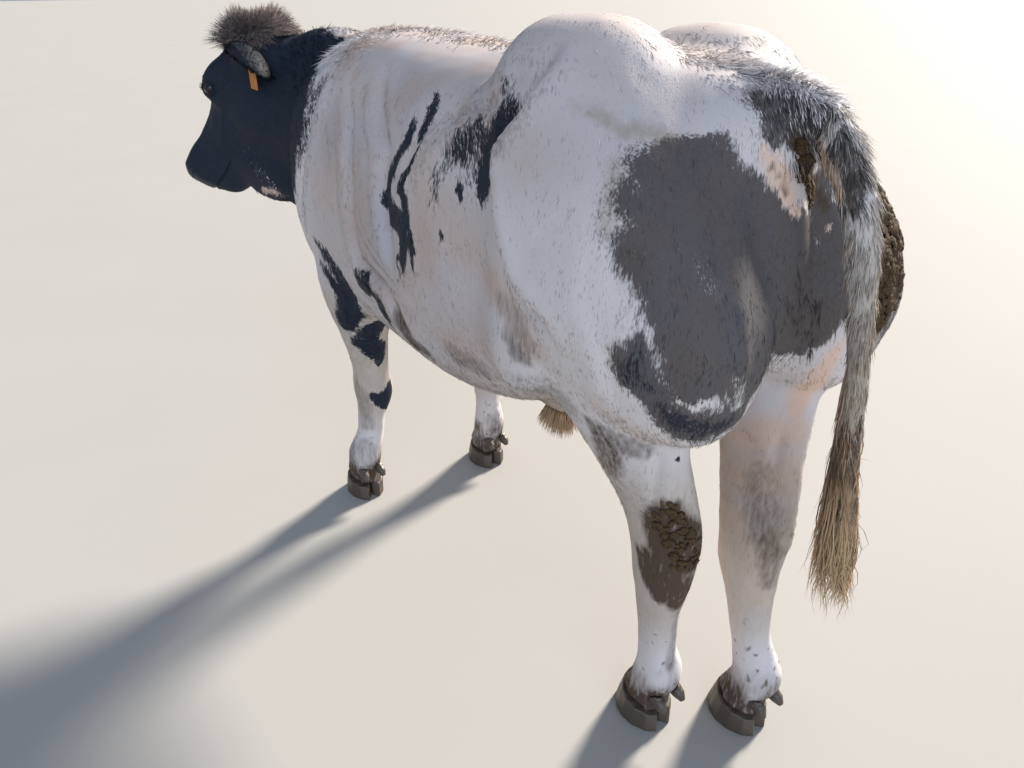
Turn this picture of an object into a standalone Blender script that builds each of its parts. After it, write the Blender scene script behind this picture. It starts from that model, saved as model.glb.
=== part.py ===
# Belgian Blue bull, life size, standing with its head turned to its left.
# Metres, +Z up. The bull faces -Y and its left side is +X, with Y = 0 midway between fore and hind feet
# until the last step, which moves the whole bull so that the centre of its box stands on the origin.

import math
import random

import bmesh
import bpy
import numpy as np
from mathutils import Matrix, Vector

# Driving dimensions
HIP_HEIGHT = 1.38  # top of the rump muscles above the floor
BODY_HALF_WIDTH = 0.345  # at the last ribs
FEET_REACH = 0.572  # from Y = 0 to the middle of the fore or hind feet
GAP = 0.0003  # between neighbouring pieces

# Surface making
TRUNK_VOXEL = 0.014
FINE_VOXEL = 0.0075
TRUNK_ROUNDS, BODY_ROUNDS = 24, 9
HEAD_TRIANGLES, BODY_TRIANGLES = 2300, 4700

FORE, HIND = -FEET_REACH, FEET_REACH
LEFT, RIGHT = 1, -1
SIDES = {"left": LEFT, "right": RIGHT}

# Where each sole stands: x, y
SOLES = {
    "fore_left": (0.203, FORE - 0.041),
    "fore_right": (-0.206, FORE + 0.039),
    "hind_left": (0.080, HIND - 0.065),
    "hind_right": (-0.080, HIND + 0.065),
}

# How far each knee and hock leans from straight above its sole: x, y
KNEE_LEAN = {"fore_left": (-0.040, 0.030), "fore_right": (0.008, 0.006)}
HOCK_LEAN = {"hind_left": (0.028, 0.020), "hind_right": (0.030, -0.030)}

# The head: where the poll is, and how the face turns from straight ahead and level
POLL = Vector((0.230, -1.010, 1.303))
FACE_TURN = 35
FACE_DROP = 52
FACE_ROLL = 4


def clear_scene():
    for obj in list(bpy.data.objects):
        bpy.data.objects.remove(obj, do_unlink=True)


def smooth_values(rows, steps):
    """Rows of numbers, with points read from a smooth curve through them."""
    rows = np.array(rows, float)
    padded = np.vstack([2 * rows[0] - rows[1], rows, 2 * rows[-1] - rows[-2]])
    found = []
    for i in range(len(rows) - 1):
        a, b, c, d = padded[i : i + 4]
        for s in range(steps):
            t = s / steps
            found.append(
                b
                + 0.5 * t * (c - a)
                + t * t * (a - 2.5 * b + 2 * c - 0.5 * d)
                + t * t * t * (1.5 * b - 0.5 * a - 1.5 * c + 0.5 * d)
            )
    found.append(rows[-1])
    return np.array(found)


def power(value, exponent):
    return math.copysign(abs(value) ** exponent, value)


def loft(bm, rings):
    """A closed tube through the rings, which are lists of the same number of points."""
    made = [[bm.verts.new(p) for p in ring] for ring in rings]
    count = len(made[0])
    faces = []
    for a, b in zip(made, made[1:]):
        for i in range(count):
            j = (i + 1) % count
            faces.append(bm.faces.new((a[i], a[j], b[j], b[i])))
    faces.append(bm.faces.new(made[0]))
    faces.append(bm.faces.new(made[-1]))
    bmesh.ops.recalc_face_normals(bm, faces=faces)
    volume = sum(
        f.calc_center_median().dot(f.normal) * f.calc_area() for f in faces
    )
    if volume < 0:
        bmesh.ops.reverse_faces(bm, faces=faces)


def tube(bm, stations, steps=5, sides=20, side_axis=(1, 0, 0), squareness=2.0):
    """A limb through stations of x, y, z, half width along side_axis, half depth across it."""
    rows = smooth_values(stations, steps)
    rings = []
    for i, row in enumerate(rows):
        ahead = rows[min(i + 1, len(rows) - 1)][:3] - rows[max(i - 1, 0)][:3]
        along = Vector(ahead).normalized()
        across = Vector(side_axis)
        across = (across - along * across.dot(along)).normalized()
        other = along.cross(across)
        centre = Vector(row[:3])
        ring = []
        for k in range(sides):
            turn = 2 * math.pi * k / sides
            c, s = power(math.cos(turn), 2 / squareness), power(math.sin(turn), 2 / squareness)
            ring.append(centre + across * (row[3] * c) + other * (row[4] * s))
        rings.append(ring)
    loft(bm, rings)


def stack(bm, rows, steps=4, sides=32, squareness=2.15):
    """A mass made of level slices: x, y, z, half width, half length."""
    rings = []
    for x, y, z, half, length in smooth_values(rows, steps):
        ring = []
        for k in range(sides):
            turn = 2 * math.pi * k / sides
            c, s = power(math.cos(turn), 2 / squareness), power(math.sin(turn), 2 / squareness)
            ring.append(Vector((x + half * c, y + length * s, z)))
        rings.append(ring)
    loft(bm, rings)


def turned(turn):
    """A rotation from degrees about X, Y and Z."""
    x, y, z = (math.radians(a) for a in turn)
    return (
        Matrix.Rotation(z, 4, "Z") @ Matrix.Rotation(y, 4, "Y") @ Matrix.Rotation(x, 4, "X")
    )


def mass(bm, centre, radii, turn=(0, 0, 0), frame=None, detail=3):
    """One rounded muscle or bone end."""
    place = Matrix.Translation(centre) @ turned(turn) @ Matrix.Diagonal((*radii, 1))
    if frame is not None:
        place = frame @ place
    bmesh.ops.create_icosphere(bm, subdivisions=detail, radius=1, matrix=place)


def both(bm, centre, radii, turn=(0, 0, 0), frame=None, detail=3):
    """The same mass on the left and the right."""
    mass(bm, centre, radii, turn, frame, detail)
    mirrored = (-centre[0], centre[1], centre[2])
    mass(bm, mirrored, radii, (turn[0], -turn[1], -turn[2]), frame, detail)


def object_from(bm, name):
    mesh = bpy.data.meshes.new(name)
    bm.to_mesh(mesh)
    bm.free()
    obj = bpy.data.objects.new(name, mesh)
    bpy.context.scene.collection.objects.link(obj)
    return obj


def apply_modifiers(obj):
    """Bakes the object's modifiers into its mesh."""
    graph = bpy.context.evaluated_depsgraph_get()
    bpy.context.view_layer.update()
    mesh = bpy.data.meshes.new_from_object(obj.evaluated_get(graph))
    obj.modifiers.clear()
    old = obj.data
    obj.data = mesh
    bpy.data.meshes.remove(old)


def remesh(obj, voxel, rounds, factor=0.5):
    """Fuses what overlaps in the object into one skin, then softens it."""
    grid = obj.modifiers.new("fuse", "REMESH")
    grid.mode = "VOXEL"
    grid.voxel_size = voxel
    if rounds:
        soften = obj.modifiers.new("soften", "SMOOTH")
        soften.factor = factor
        soften.iterations = rounds
    apply_modifiers(obj)


# Trunk: y, top, bottom, half width, height of the widest place
TRUNK = [
    (-0.86, 1.14, 0.86, 0.10, 0.98),
    (-0.80, 1.24, 0.73, 0.19, 0.97),
    (-0.71, 1.305, 0.65, 0.255, 0.95),
    (-0.58, 1.335, 0.61, 0.290, 0.93),
    (-0.42, 1.338, 0.600, 0.305, 0.91),
    (-0.20, 1.328, 0.600, 0.325, 0.90),
    (0.00, 1.328, 0.605, BODY_HALF_WIDTH, 0.92),
    (0.14, 1.338, 0.625, 0.335, 0.95),
    (0.26, 1.345, 0.680, 0.300, 1.00),
    (0.38, 1.345, 0.760, 0.255, 1.06),
    (0.50, 1.330, 0.860, 0.200, 1.10),
    (0.59, 1.280, 0.960, 0.130, 1.12),
]
TRUNK_SIDES = 40
BACK_FULLNESS, BELLY_FULLNESS = 2.7, 2.3


def trunk_ring(row):
    y, top, bottom, half, widest = row
    ring = []
    for k in range(TRUNK_SIDES):
        turn = 2 * math.pi * k / TRUNK_SIDES
        up = math.sin(turn) > 0
        fullness = BACK_FULLNESS if up else BELLY_FULLNESS
        rise = (top - widest) if up else (widest - bottom)
        x = half * power(math.cos(turn), 2 / fullness)
        z = widest + rise * power(math.sin(turn), 2 / fullness)
        ring.append(Vector((x, y, z)))
    return ring


def add_trunk(bm):
    loft(bm, [trunk_ring(row) for row in smooth_values(TRUNK, 4)])


# Hind quarter seen from above, from the rump hump to under the buttock: x, y, z, half width, half length
HIND_QUARTER = [
    (0.145, 0.292, 1.405, 0.030, 0.040),
    (0.146, 0.292, 1.390, 0.085, 0.100),
    (0.150, 0.296, 1.345, 0.130, 0.142),
    (0.158, 0.318, 1.285, 0.150, 0.176),
    (0.170, 0.360, 1.210, 0.160, 0.214),
    (0.184, 0.400, 1.125, 0.166, 0.238),
    (0.188, 0.428, 1.015, 0.170, 0.258),
    (0.182, 0.452, 0.930, 0.155, 0.240),
    (0.170, 0.478, 0.855, 0.132, 0.205),
    (0.160, 0.500, 0.800, 0.092, 0.150),
    (0.155, 0.510, 0.775, 0.040, 0.070),
]
# The right hip hangs a little, as that leg is set back
HIP_DROP = 0.022

# Shoulder seen from above, from the blade to the upper arm: x, y, z, half width, half length
SHOULDER = [
    (0.110, -0.545, 1.300, 0.035, 0.080),
    (0.130, -0.555, 1.265, 0.090, 0.140),
    (0.160, -0.575, 1.170, 0.120, 0.185),
    (0.180, -0.595, 1.030, 0.122, 0.205),
    (0.188, -0.595, 0.900, 0.112, 0.200),
    (0.192, -0.580, 0.800, 0.100, 0.170),
    (0.195, -0.560, 0.730, 0.060, 0.100),
]


def add_rump(bm):
    """The double muscles of the hind quarters, with the groove and the tail head between them."""
    for side in SIDES.values():
        drop = HIP_DROP if side == RIGHT else 0.0
        stack(bm, [(x * side, y, z - drop * max(0, z - 1) / 0.4, a, b) for x, y, z, a, b in HIND_QUARTER])
    both(bm, (0.215, 0.190, 1.215), (0.085, 0.120, 0.095), (0, 24, 20))
    both(bm, (0.205, 0.600, 0.985), (0.085, 0.100, 0.150), (12, 0, 10))
    both(bm, (0.100, 0.590, 0.950), (0.070, 0.085, 0.145), (8, 0, 0))
    both(bm, (0.275, 0.340, 0.965), (0.065, 0.120, 0.180), (-14, -10, 0))
    mass(bm, (0, 0.500, 1.235), (0.080, 0.130, 0.090), (-16, 0, 0))
    mass(bm, (0, 0.520, 1.030), (0.075, 0.130, 0.220), (0, 0, 0))


def add_shoulders(bm):
    """Shoulder, upper arm, brisket and withers."""
    for side in SIDES.values():
        stack(bm, [(x * side, y, z, half, length) for x, y, z, half, length in SHOULDER])
    both(bm, (0.238, -0.490, 0.950), (0.078, 0.150, 0.210), (-26, 0, 6))
    both(bm, (0.200, -0.680, 0.960), (0.072, 0.085, 0.170), (14, 4, 0))
    both(bm, (0.110, -0.730, 0.790), (0.110, 0.105, 0.130), (18, 0, 0))
    both(bm, (0.110, -0.560, 0.690), (0.120, 0.190, 0.095), (0, 0, 0))
    mass(bm, (0, -0.560, 1.270), (0.110, 0.250, 0.070), (-3, 0, 0))


def add_belly(bm):
    """The navel fold with the sheath, and the purse between the thighs."""
    mass(bm, (0, 0.035, 0.600), (0.060, 0.150, 0.045), (-6, 0, 0))
    mass(bm, (0, 0.085, 0.578), (0.034, 0.050, 0.038), (-20, 0, 0))
    mass(bm, (0, 0.440, 0.755), (0.056, 0.060, 0.080), (0, 0, 0))


NECK = [
    # x, y, z, half width, half height
    (0.000, -0.600, 1.010, 0.205, 0.290),
    (0.015, -0.740, 1.050, 0.190, 0.272),
    (0.070, -0.860, 1.090, 0.165, 0.235),
    (0.140, -0.950, 1.115, 0.138, 0.200),
    (0.190, -1.020, 1.130, 0.118, 0.170),
]


def add_neck(bm):
    tube(bm, NECK, steps=5, sides=28, side_axis=(0.9, 0.3, 0), squareness=2.2)
    mass(bm, (0.065, -0.830, 1.240), (0.100, 0.180, 0.090), (0, 0, 28))
    mass(bm, (0.110, -0.860, 0.930), (0.070, 0.170, 0.130), (24, 0, 28))
    mass(bm, (0.215, -0.985, 0.960), (0.070, 0.130, 0.095), (-6, 0, 34))
    mass(bm, (0.245, -1.035, 0.985), (0.075, 0.110, 0.085), (0, 0, 36))


def leg_frame(name):
    x, y = SOLES[name]
    return x, y, LEFT if x > 0 else RIGHT


def add_fore_leg(bm, name):
    """Forearm, knee, cannon, fetlock and pastern of a fore leg."""
    x, y, side = leg_frame(name)
    top_y = FORE + 0.05
    top_x = 0.215 * side
    knee_x, knee_y = x + KNEE_LEAN[name][0], y + KNEE_LEAN[name][1]
    stations = [
        (top_x, top_y, 0.830, 0.090, 0.130),
        (top_x, top_y - 0.010, 0.720, 0.086, 0.112),
        ((knee_x + top_x) / 2, (knee_y + top_y) / 2, 0.590, 0.071, 0.080),
        (knee_x + 0.004 * side, knee_y + 0.004, 0.460, 0.056, 0.058),
        (knee_x, knee_y, 0.400, 0.060, 0.060),
        (knee_x, knee_y, 0.350, 0.058, 0.058),
        ((3 * knee_x + x) / 4, (3 * knee_y + y) / 4 + 0.006, 0.300, 0.044, 0.046),
        ((knee_x + x) / 2, (knee_y + y) / 2 + 0.012, 0.225, 0.042, 0.043),
        (x, y + 0.014, 0.155, 0.052, 0.053),
        (x, y + 0.002, 0.110, 0.050, 0.048),
        (x, y - 0.008, 0.070, 0.054, 0.058),
        (x, y - 0.010, 0.040, 0.054, 0.062),
        (x, y - 0.012, -0.010, 0.054, 0.062),
    ]
    tube(bm, stations, steps=4, sides=20, squareness=2.2)
    mass(bm, (knee_x + 0.01 * side, knee_y + 0.042, 0.455), (0.036, 0.026, 0.060), (10, 0, 0), detail=2)
    mass(bm, (knee_x, knee_y - 0.040, 0.385), (0.044, 0.026, 0.050), detail=2)
    mass(bm, (top_x, top_y + 0.10, 0.745), (0.055, 0.060, 0.085), (-16, 0, 0), detail=2)


def add_hind_leg(bm, name):
    """Gaskin, hock with its point, cannon, fetlock and pastern of a hind leg."""
    x, y, side = leg_frame(name)
    hock_x, hock_y = x + HOCK_LEAN[name][0], y + HOCK_LEAN[name][1]
    stifle_x, stifle_y = 0.225 * side, 0.400

    def between(share, back=0.0):
        return (
            stifle_x + (hock_x - stifle_x) * share,
            stifle_y + (hock_y - stifle_y) * share + back,
        )

    stations = [
        (0.205 * side, 0.440, 0.880, 0.100, 0.150),
        (*between(0.40, 0.015), 0.790, 0.084, 0.110),
        (*between(0.66, 0.010), 0.690, 0.070, 0.092),
        (*between(0.90), 0.590, 0.060, 0.080),
        (hock_x, hock_y, 0.500, 0.058, 0.074),
        (hock_x, hock_y, 0.440, 0.055, 0.066),
        ((3 * hock_x + x) / 4, (3 * hock_y + y) / 4, 0.370, 0.045, 0.052),
        ((hock_x + x) / 2, (hock_y + y) / 2 + 0.006, 0.280, 0.041, 0.045),
        ((hock_x + 3 * x) / 4, (hock_y + 3 * y) / 4 + 0.010, 0.215, 0.042, 0.045),
        (x, y + 0.020, 0.155, 0.052, 0.055),
        (x, y + 0.004, 0.110, 0.050, 0.048),
        (x, y - 0.008, 0.070, 0.054, 0.058),
        (x, y - 0.010, 0.040, 0.054, 0.062),
        (x, y - 0.012, -0.010, 0.054, 0.062),
    ]
    tube(bm, stations, steps=4, sides=20, squareness=2.2)
    heel = [
        (*between(0.45, 0.070), 0.800, 0.050, 0.070),
        (*between(0.70, 0.062), 0.690, 0.036, 0.048),
        (*between(0.94, 0.054), 0.600, 0.028, 0.036),
        (hock_x, hock_y + 0.058, 0.535, 0.030, 0.028),
        (hock_x, hock_y + 0.046, 0.440, 0.028, 0.028),
        ((hock_x + x) / 2, (hock_y + y) / 2 + 0.028, 0.330, 0.026, 0.024),
    ]
    tube(bm, heel, steps=4, sides=14)


# Head: along the face from the poll, forehead rise, depth to the jaw, half width
SKULL = [
    (-0.070, -0.030, -0.130, 0.062),
    (-0.030, 0.004, -0.170, 0.090),
    (0.020, 0.026, -0.205, 0.106),
    (0.070, 0.037, -0.226, 0.110),
    (0.120, 0.038, -0.232, 0.108),
    (0.170, 0.032, -0.224, 0.099),
    (0.230, 0.020, -0.203, 0.082),
    (0.300, 0.010, -0.178, 0.070),
    (0.355, 0.007, -0.164, 0.067),
    (0.405, 0.006, -0.156, 0.070),
    (0.440, -0.004, -0.142, 0.066),
    (0.464, -0.028, -0.112, 0.048),
]


def head_frame():
    """Head space to bull space. In it +X is the bull's left, -Y runs down the face to the muzzle, +Z rises from it."""
    return (
        Matrix.Translation(POLL)
        @ Matrix.Rotation(math.radians(FACE_TURN), 4, "Z")
        @ Matrix.Rotation(math.radians(FACE_DROP), 4, "X")
        @ Matrix.Rotation(math.radians(FACE_ROLL), 4, "Y")
    )


def skull_ring(row):
    along, rise, depth, half = row
    widest = rise * 0.45 + depth * 0.55
    ring = []
    for k in range(32):
        turn = 2 * math.pi * k / 32
        up = math.sin(turn) > 0
        reach = (rise - widest) if up else (widest - depth)
        narrow = 1.0 if up else 1 - 0.22 * abs(math.sin(turn))
        x = half * power(math.cos(turn), 0.82) * narrow
        z = widest + reach * power(math.sin(turn), 0.82)
        ring.append(Vector((x, -along, z)))
    return ring


def add_head(bm, frame):
    rings = [[frame @ p for p in skull_ring(row)] for row in smooth_values(SKULL, 4)]
    loft(bm, rings)
    both(bm, (0.080, -0.120, 0.004), (0.032, 0.062, 0.034), (0, 10, 12), frame)
    both(bm, (0.086, -0.148, -0.010), (0.020, 0.038, 0.030), (0, 0, 8), frame)
    both(bm, (0.082, -0.138, 0.012), (0.026, 0.046, 0.017), (0, 8, 10), frame)
    both(bm, (0.064, -0.120, -0.135), (0.050, 0.110, 0.088), (0, 0, 6), frame)
    both(bm, (0.040, -0.428, -0.040), (0.038, 0.038, 0.040), (0, 0, 0), frame)
    mass(bm, (0, -0.430, -0.072), (0.072, 0.046, 0.060), (0, 0, 0), frame)
    mass(bm, (0, -0.392, -0.148), (0.050, 0.060, 0.030), (0, 0, 0), frame)
    mass(bm, (0, -0.015, 0.002), (0.080, 0.050, 0.036), (0, 0, 0), frame)
    both(bm, (0.082, -0.022, -0.050), (0.042, 0.040, 0.042), (0, 0, 0), frame)


def body_surface():
    """The whole bull's skin as one fine mesh, without ears, tail and claws."""
    bm = bmesh.new()
    add_trunk(bm)
    add_rump(bm)
    add_shoulders(bm)
    add_belly(bm)
    trunk = object_from(bm, "trunk_clay")
    remesh(trunk, TRUNK_VOXEL, TRUNK_ROUNDS)
    bm = bmesh.new()
    bm.from_mesh(trunk.data)
    bpy.data.objects.remove(trunk)
    add_neck(bm)
    for name in SOLES:
        if name.startswith("fore"):
            add_fore_leg(bm, name)
        else:
            add_hind_leg(bm, name)
    add_head(bm, head_frame())
    body = object_from(bm, "body_clay")
    remesh(body, FINE_VOXEL, BODY_ROUNDS)
    return body


def thin_out(obj, triangles, chosen=None):
    """Brings the object, or only the points that chosen(point) names, down to so many triangles."""
    group = obj.vertex_groups.new(name="thinned")
    picked = [v.index for v in obj.data.vertices if chosen is None or chosen(v.co)]
    group.add(picked, 1.0, "REPLACE")
    inside = set(picked)
    counted = sum(
        len(p.vertices) - 2 for p in obj.data.polygons if any(v in inside for v in p.vertices)
    )
    total = sum(len(p.vertices) - 2 for p in obj.data.polygons)
    fewer = obj.modifiers.new("fewer", "DECIMATE")
    fewer.vertex_group = group.name
    fewer.ratio = (total - counted + triangles) / total
    apply_modifiers(obj)
    obj.vertex_groups.clear()


# Cutting
def copy_of(obj, name):
    twin = bpy.data.objects.new(name, obj.data.copy())
    bpy.context.scene.collection.objects.link(twin)
    return twin


def side_of_plane(obj, name, point, normal):
    """The part of the object on the plane's positive side, half a gap away from it, closed."""
    normal = normal.normalized()
    bm = bmesh.new()
    bm.from_mesh(obj.data)
    cut = bmesh.ops.bisect_plane(
        bm,
        geom=bm.verts[:] + bm.edges[:] + bm.faces[:],
        dist=0.00001,
        plane_co=point + normal * (GAP / 2),
        plane_no=normal,
        clear_inner=True,
    )
    rim = [e for e in cut["geom_cut"] if isinstance(e, bmesh.types.BMEdge)]
    bmesh.ops.holes_fill(bm, edges=rim, sides=0)
    bmesh.ops.recalc_face_normals(bm, faces=bm.faces)
    return object_from(bm, name)


def fuse(obj, other, operation="DIFFERENCE", solver="EXACT"):
    """A Boolean with another object, which is used up."""
    step = obj.modifiers.new("join", "BOOLEAN")
    step.operation = operation
    step.solver = solver
    step.object = other
    other.display_type = "WIRE"
    other.hide_render = True
    apply_modifiers(obj)
    bpy.data.objects.remove(other, do_unlink=True)


def swollen(obj, by=GAP):
    """A copy of the object with its surface moved out."""
    twin = copy_of(obj, obj.name + "_swollen")
    bm = bmesh.new()
    bm.from_mesh(twin.data)
    bm.normal_update()
    moved = [v.co + v.normal * (by * v.calc_shell_factor()) for v in bm.verts]
    for v, co in zip(bm.verts, moved):
        v.co = co
    bm.to_mesh(twin.data)
    bm.free()
    return twin


def prism(name, outline, start, end, across, grow=0.0):
    """A block whose outline lies in the plane of Z and one axis, drawn out along the axis across (0 or 1)."""
    count = len(outline)
    points = [Vector(p) for p in outline]
    grown = []
    for i, p in enumerate(points):
        before = (p - points[i - 1]).normalized()
        after = (points[(i + 1) % count] - p).normalized()
        out_a, out_b = Vector((before.y, -before.x)), Vector((after.y, -after.x))
        grown.append(p + (out_a + out_b) * (grow / (1 + out_a.dot(out_b))))
    low, high = min(start, end) - grow, max(start, end) + grow
    bm = bmesh.new()
    rings = []
    for level in (low, high):
        if across == 0:
            rings.append([Vector((level, p.x, p.y)) for p in grown])
        else:
            rings.append([Vector((p.x, level, p.y)) for p in grown])
    loft(bm, rings)
    return object_from(bm, name)


# Outlines of the blocks that part the legs from the trunk, anticlockwise
HIND_UPPER = [(0.200, 0.800), (0.330, 0.655), (1.000, 0.655), (1.000, 1.235), (0.760, 1.120)]
HIND_LOWER = [(0.330, 0.660), (0.330, -0.100), (1.000, -0.100), (1.000, 0.660)]
THIGH_INNER, SHANK_INNER, BLOCK_OUTER = 0.040, 0.012, 0.600
FORE_BLOCK = [(0.065, -0.100), (0.600, -0.100), (0.600, 0.960), (0.330, 0.800), (0.065, 0.600)]
FORE_BLOCK_FRONT, FORE_BLOCK_BACK = -0.830, -0.345


def leg_block(name, grow):
    side = LEFT if name.endswith("left") else RIGHT
    if name.startswith("hind"):
        block = prism(name, HIND_UPPER, THIGH_INNER * side, BLOCK_OUTER * side, 0, grow)
        fuse(block, prism("shank", HIND_LOWER, SHANK_INNER, BLOCK_OUTER * side, 0, grow), "UNION")
        return block
    outline = [(x * side, z) for x, z in FORE_BLOCK]
    if side == RIGHT:
        outline.reverse()
    return prism(name, outline, FORE_BLOCK_FRONT, FORE_BLOCK_BACK, 1, grow)


# Feet: the coronet slopes from the toe down to the heel
CORONET_FRONT, CORONET_BACK = (-0.055, 0.078), (0.055, 0.044)
CLAW_STEPS = [(0.00, 0.30), (0.12, 0.70), (0.35, 0.98), (0.58, 1.00), (0.78, 0.80), (0.92, 0.48), (1.00, 0.16)]
CLAW_HALF_WIDTH = 0.049
CLEFT = 0.0035
DEWCLAW_HEIGHT = 0.108


def coronet_plane(name):
    """A point of the foot's coronet plane, and its upward normal."""
    x, y, _ = leg_frame(name)
    (front, high), (back, low) = CORONET_FRONT, CORONET_BACK
    slope = (high - low) / (back - front)
    return Vector((x, y + front, high)), Vector((0, slope, 1)).normalized()


def claw(name, foot, side):
    """One claw: flat sole on the floor, top against the coronet, straight wall towards the other claw."""
    x, y, _ = leg_frame(foot)
    point, up = coronet_plane(foot)
    rings = []
    for level in (0.0, 0.12, 0.55, 1.0):
        toe = -0.082 + 0.022 * level
        heel = 0.052 - 0.004 * level
        spread = 1.0 + 0.06 * math.sin(math.pi * min(level + 0.1, 1)) - 0.05 * (level == 0.0)
        ring = []
        outer = [(CLEFT + CLAW_HALF_WIDTH * w * spread, heel + (toe - heel) * u) for u, w in CLAW_STEPS]
        inner = [(CLEFT, heel + (toe - heel) * u) for u in (0.88, 0.66, 0.40, 0.14)]
        for px, py in outer + inner:
            reach = (up.dot(point - Vector((x, y + py, 0))) - GAP) / up.z
            ring.append(Vector((x + side * px, y + py, reach * level)))
        rings.append(ring)
    bm = bmesh.new()
    loft(bm, rings)
    return object_from(bm, name)


def dewclaw(name, foot, side, leg):
    x, y, _ = leg_frame(foot)
    stations = [
        (x + 0.022 * side, y + 0.020, DEWCLAW_HEIGHT + 0.010, 0.016, 0.016),
        (x + 0.025 * side, y + 0.044, DEWCLAW_HEIGHT, 0.0165, 0.0165),
        (x + 0.028 * side, y + 0.062, DEWCLAW_HEIGHT - 0.012, 0.013, 0.013),
        (x + 0.029 * side, y + 0.072, DEWCLAW_HEIGHT - 0.022, 0.006, 0.006),
    ]
    bm = bmesh.new()
    tube(bm, stations, steps=1, sides=8)
    obj = object_from(bm, name)
    fuse(obj, swollen(leg))
    return obj


# Ears: share of the length, half width, how deeply the cup is bent, thickness
EAR_STEPS = [
    (-0.10, 0.020, 0.2, 0.020),
    (0.04, 0.026, 0.9, 0.015),
    (0.18, 0.042, 1.25, 0.010),
    (0.38, 0.056, 1.15, 0.0085),
    (0.60, 0.058, 0.95, 0.0075),
    (0.80, 0.044, 0.80, 0.0065),
    (0.93, 0.024, 0.60, 0.0055),
    (1.00, 0.007, 0.40, 0.0045),
]
EAR_LENGTH = 0.190
EAR_ROOT = (0.094, -0.016, -0.026)
EAR_POINTS = 7
# How much the ear runs outwards, back and up, and how its back faces
EAR_LIE = (0.58, 0.76, -0.24)
EAR_BACK = (-0.60, -0.10, 0.80)


def ear_frame(side):
    """Ear space to bull space: +Y runs to the tip, +Z is the back of the cup."""
    head = head_frame()
    root = head @ Vector((EAR_ROOT[0] * side, EAR_ROOT[1], EAR_ROOT[2]))
    turn = math.radians(FACE_TURN)
    outward = Vector((math.cos(turn), math.sin(turn), 0)) * side
    backward = Vector((-math.sin(turn), math.cos(turn), 0))
    rise = Vector((0, 0, 1))
    along = (outward * EAR_LIE[0] + backward * EAR_LIE[1] + rise * EAR_LIE[2]).normalized()
    back = outward * EAR_BACK[0] + backward * EAR_BACK[1] + rise * EAR_BACK[2]
    back = (back - along * back.dot(along)).normalized()
    across = along.cross(back)
    place = Matrix((across, along, back)).transposed().to_4x4()
    place.translation = root
    return place


def ear_rings(points, steps):
    rows = smooth_values(EAR_STEPS, steps)
    rings = []
    for share, half, bend, thick in rows:
        radius = half / math.sin(bend)
        ring = []
        for sign, reach in ((1, radius + thick / 2), (-1, radius - thick / 2)):
            for k in range(points):
                turn = bend * (2 * k / (points - 1) - 1) * sign
                tall = math.cos(turn) * reach - math.cos(bend) * radius
                ring.append(Vector((math.sin(turn) * reach, share * EAR_LENGTH, tall)))
        rings.append(ring)
    return rings


def ear(name, side, neighbours):
    place = ear_frame(side)
    bm = bmesh.new()
    loft(bm, [[place @ p for p in ring] for ring in ear_rings(EAR_POINTS, 1)])
    obj = object_from(bm, name)
    for other in neighbours:
        fuse(obj, swollen(other))
    return obj


TAG_OUTLINE = [
    (-0.009, 0.010),
    (-0.012, -0.008),
    (-0.027, -0.020),
    (-0.027, -0.078),
    (0.027, -0.078),
    (0.027, -0.020),
    (0.012, -0.008),
    (0.009, 0.010),
]
TAG_THICKNESS, TAG_REACH = 0.0026, 0.085
# Low end, high end and radius of the pin and of its head behind the ear
TAG_PIN = [(0.010, 0.045, 0.004), (0.0405, 0.046, 0.014)]


def ear_tag(side):
    """A flag hanging inside the cup, on a pin through the ear with a round head behind."""
    place = ear_frame(side) @ Matrix.Translation((0, TAG_REACH, 0))
    along = place.to_3x3() @ Vector((0, 1, 0))
    down = Vector((0, 0, -1))
    wide = (along - down * along.dot(down)).normalized()
    flat = wide.cross(down)
    top = place @ Vector((0, 0, 0.014))
    rings = []
    for level in (-TAG_THICKNESS / 2, TAG_THICKNESS / 2):
        rings.append([top + wide * a - down * b + flat * level for a, b in TAG_OUTLINE])
    bm = bmesh.new()
    loft(bm, rings)
    tag = object_from(bm, "ear_tag")
    for low, high, radius in TAG_PIN:
        middle = place @ Matrix.Translation((0, 0, (low + high) / 2))
        bm = bmesh.new()
        bmesh.ops.create_cone(
            bm, cap_ends=True, segments=12, radius1=radius, radius2=radius, depth=high - low, matrix=middle
        )
        fuse(tag, object_from(bm, "pin"), "UNION")
    return tag


EYE = Vector((0.094, -0.152, -0.006))
EYE_RADIUS = 0.021


def eye_place(side):
    return head_frame() @ Vector((EYE.x * side, EYE.y, EYE.z))


def add_lids(head, side):
    """An almond-shaped rim round the eye."""
    frame = head_frame() @ Matrix.Translation((EYE.x * side, EYE.y, EYE.z))
    tilt = Matrix.Rotation(math.radians(8 * side), 4, "Z") @ Matrix.Rotation(math.radians(-12), 4, "X")
    rings = []
    for k in range(16):
        turn = 2 * math.pi * k / 16
        middle = Vector((0.010 * side, math.cos(turn) * 0.025, math.sin(turn) * 0.0155))
        away = Vector((0.25 * side, math.cos(turn), math.sin(turn))).normalized()
        out = Vector((side, 0, 0))
        ring = []
        for j in range(6):
            small = 2 * math.pi * j / 6
            ring.append(frame @ tilt @ (middle + away * (0.0055 * math.cos(small)) + out * (0.0055 * math.sin(small))))
        rings.append(ring)
    bm = bmesh.new()
    made = [[bm.verts.new(p) for p in ring] for ring in rings]
    for i in range(16):
        a, b = made[i], made[(i + 1) % 16]
        for j in range(6):
            bm.faces.new((a[j], a[(j + 1) % 6], b[(j + 1) % 6], b[j]))
    bmesh.ops.recalc_face_normals(bm, faces=bm.faces)
    fuse(head, object_from(bm, "lids"), "UNION")


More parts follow.
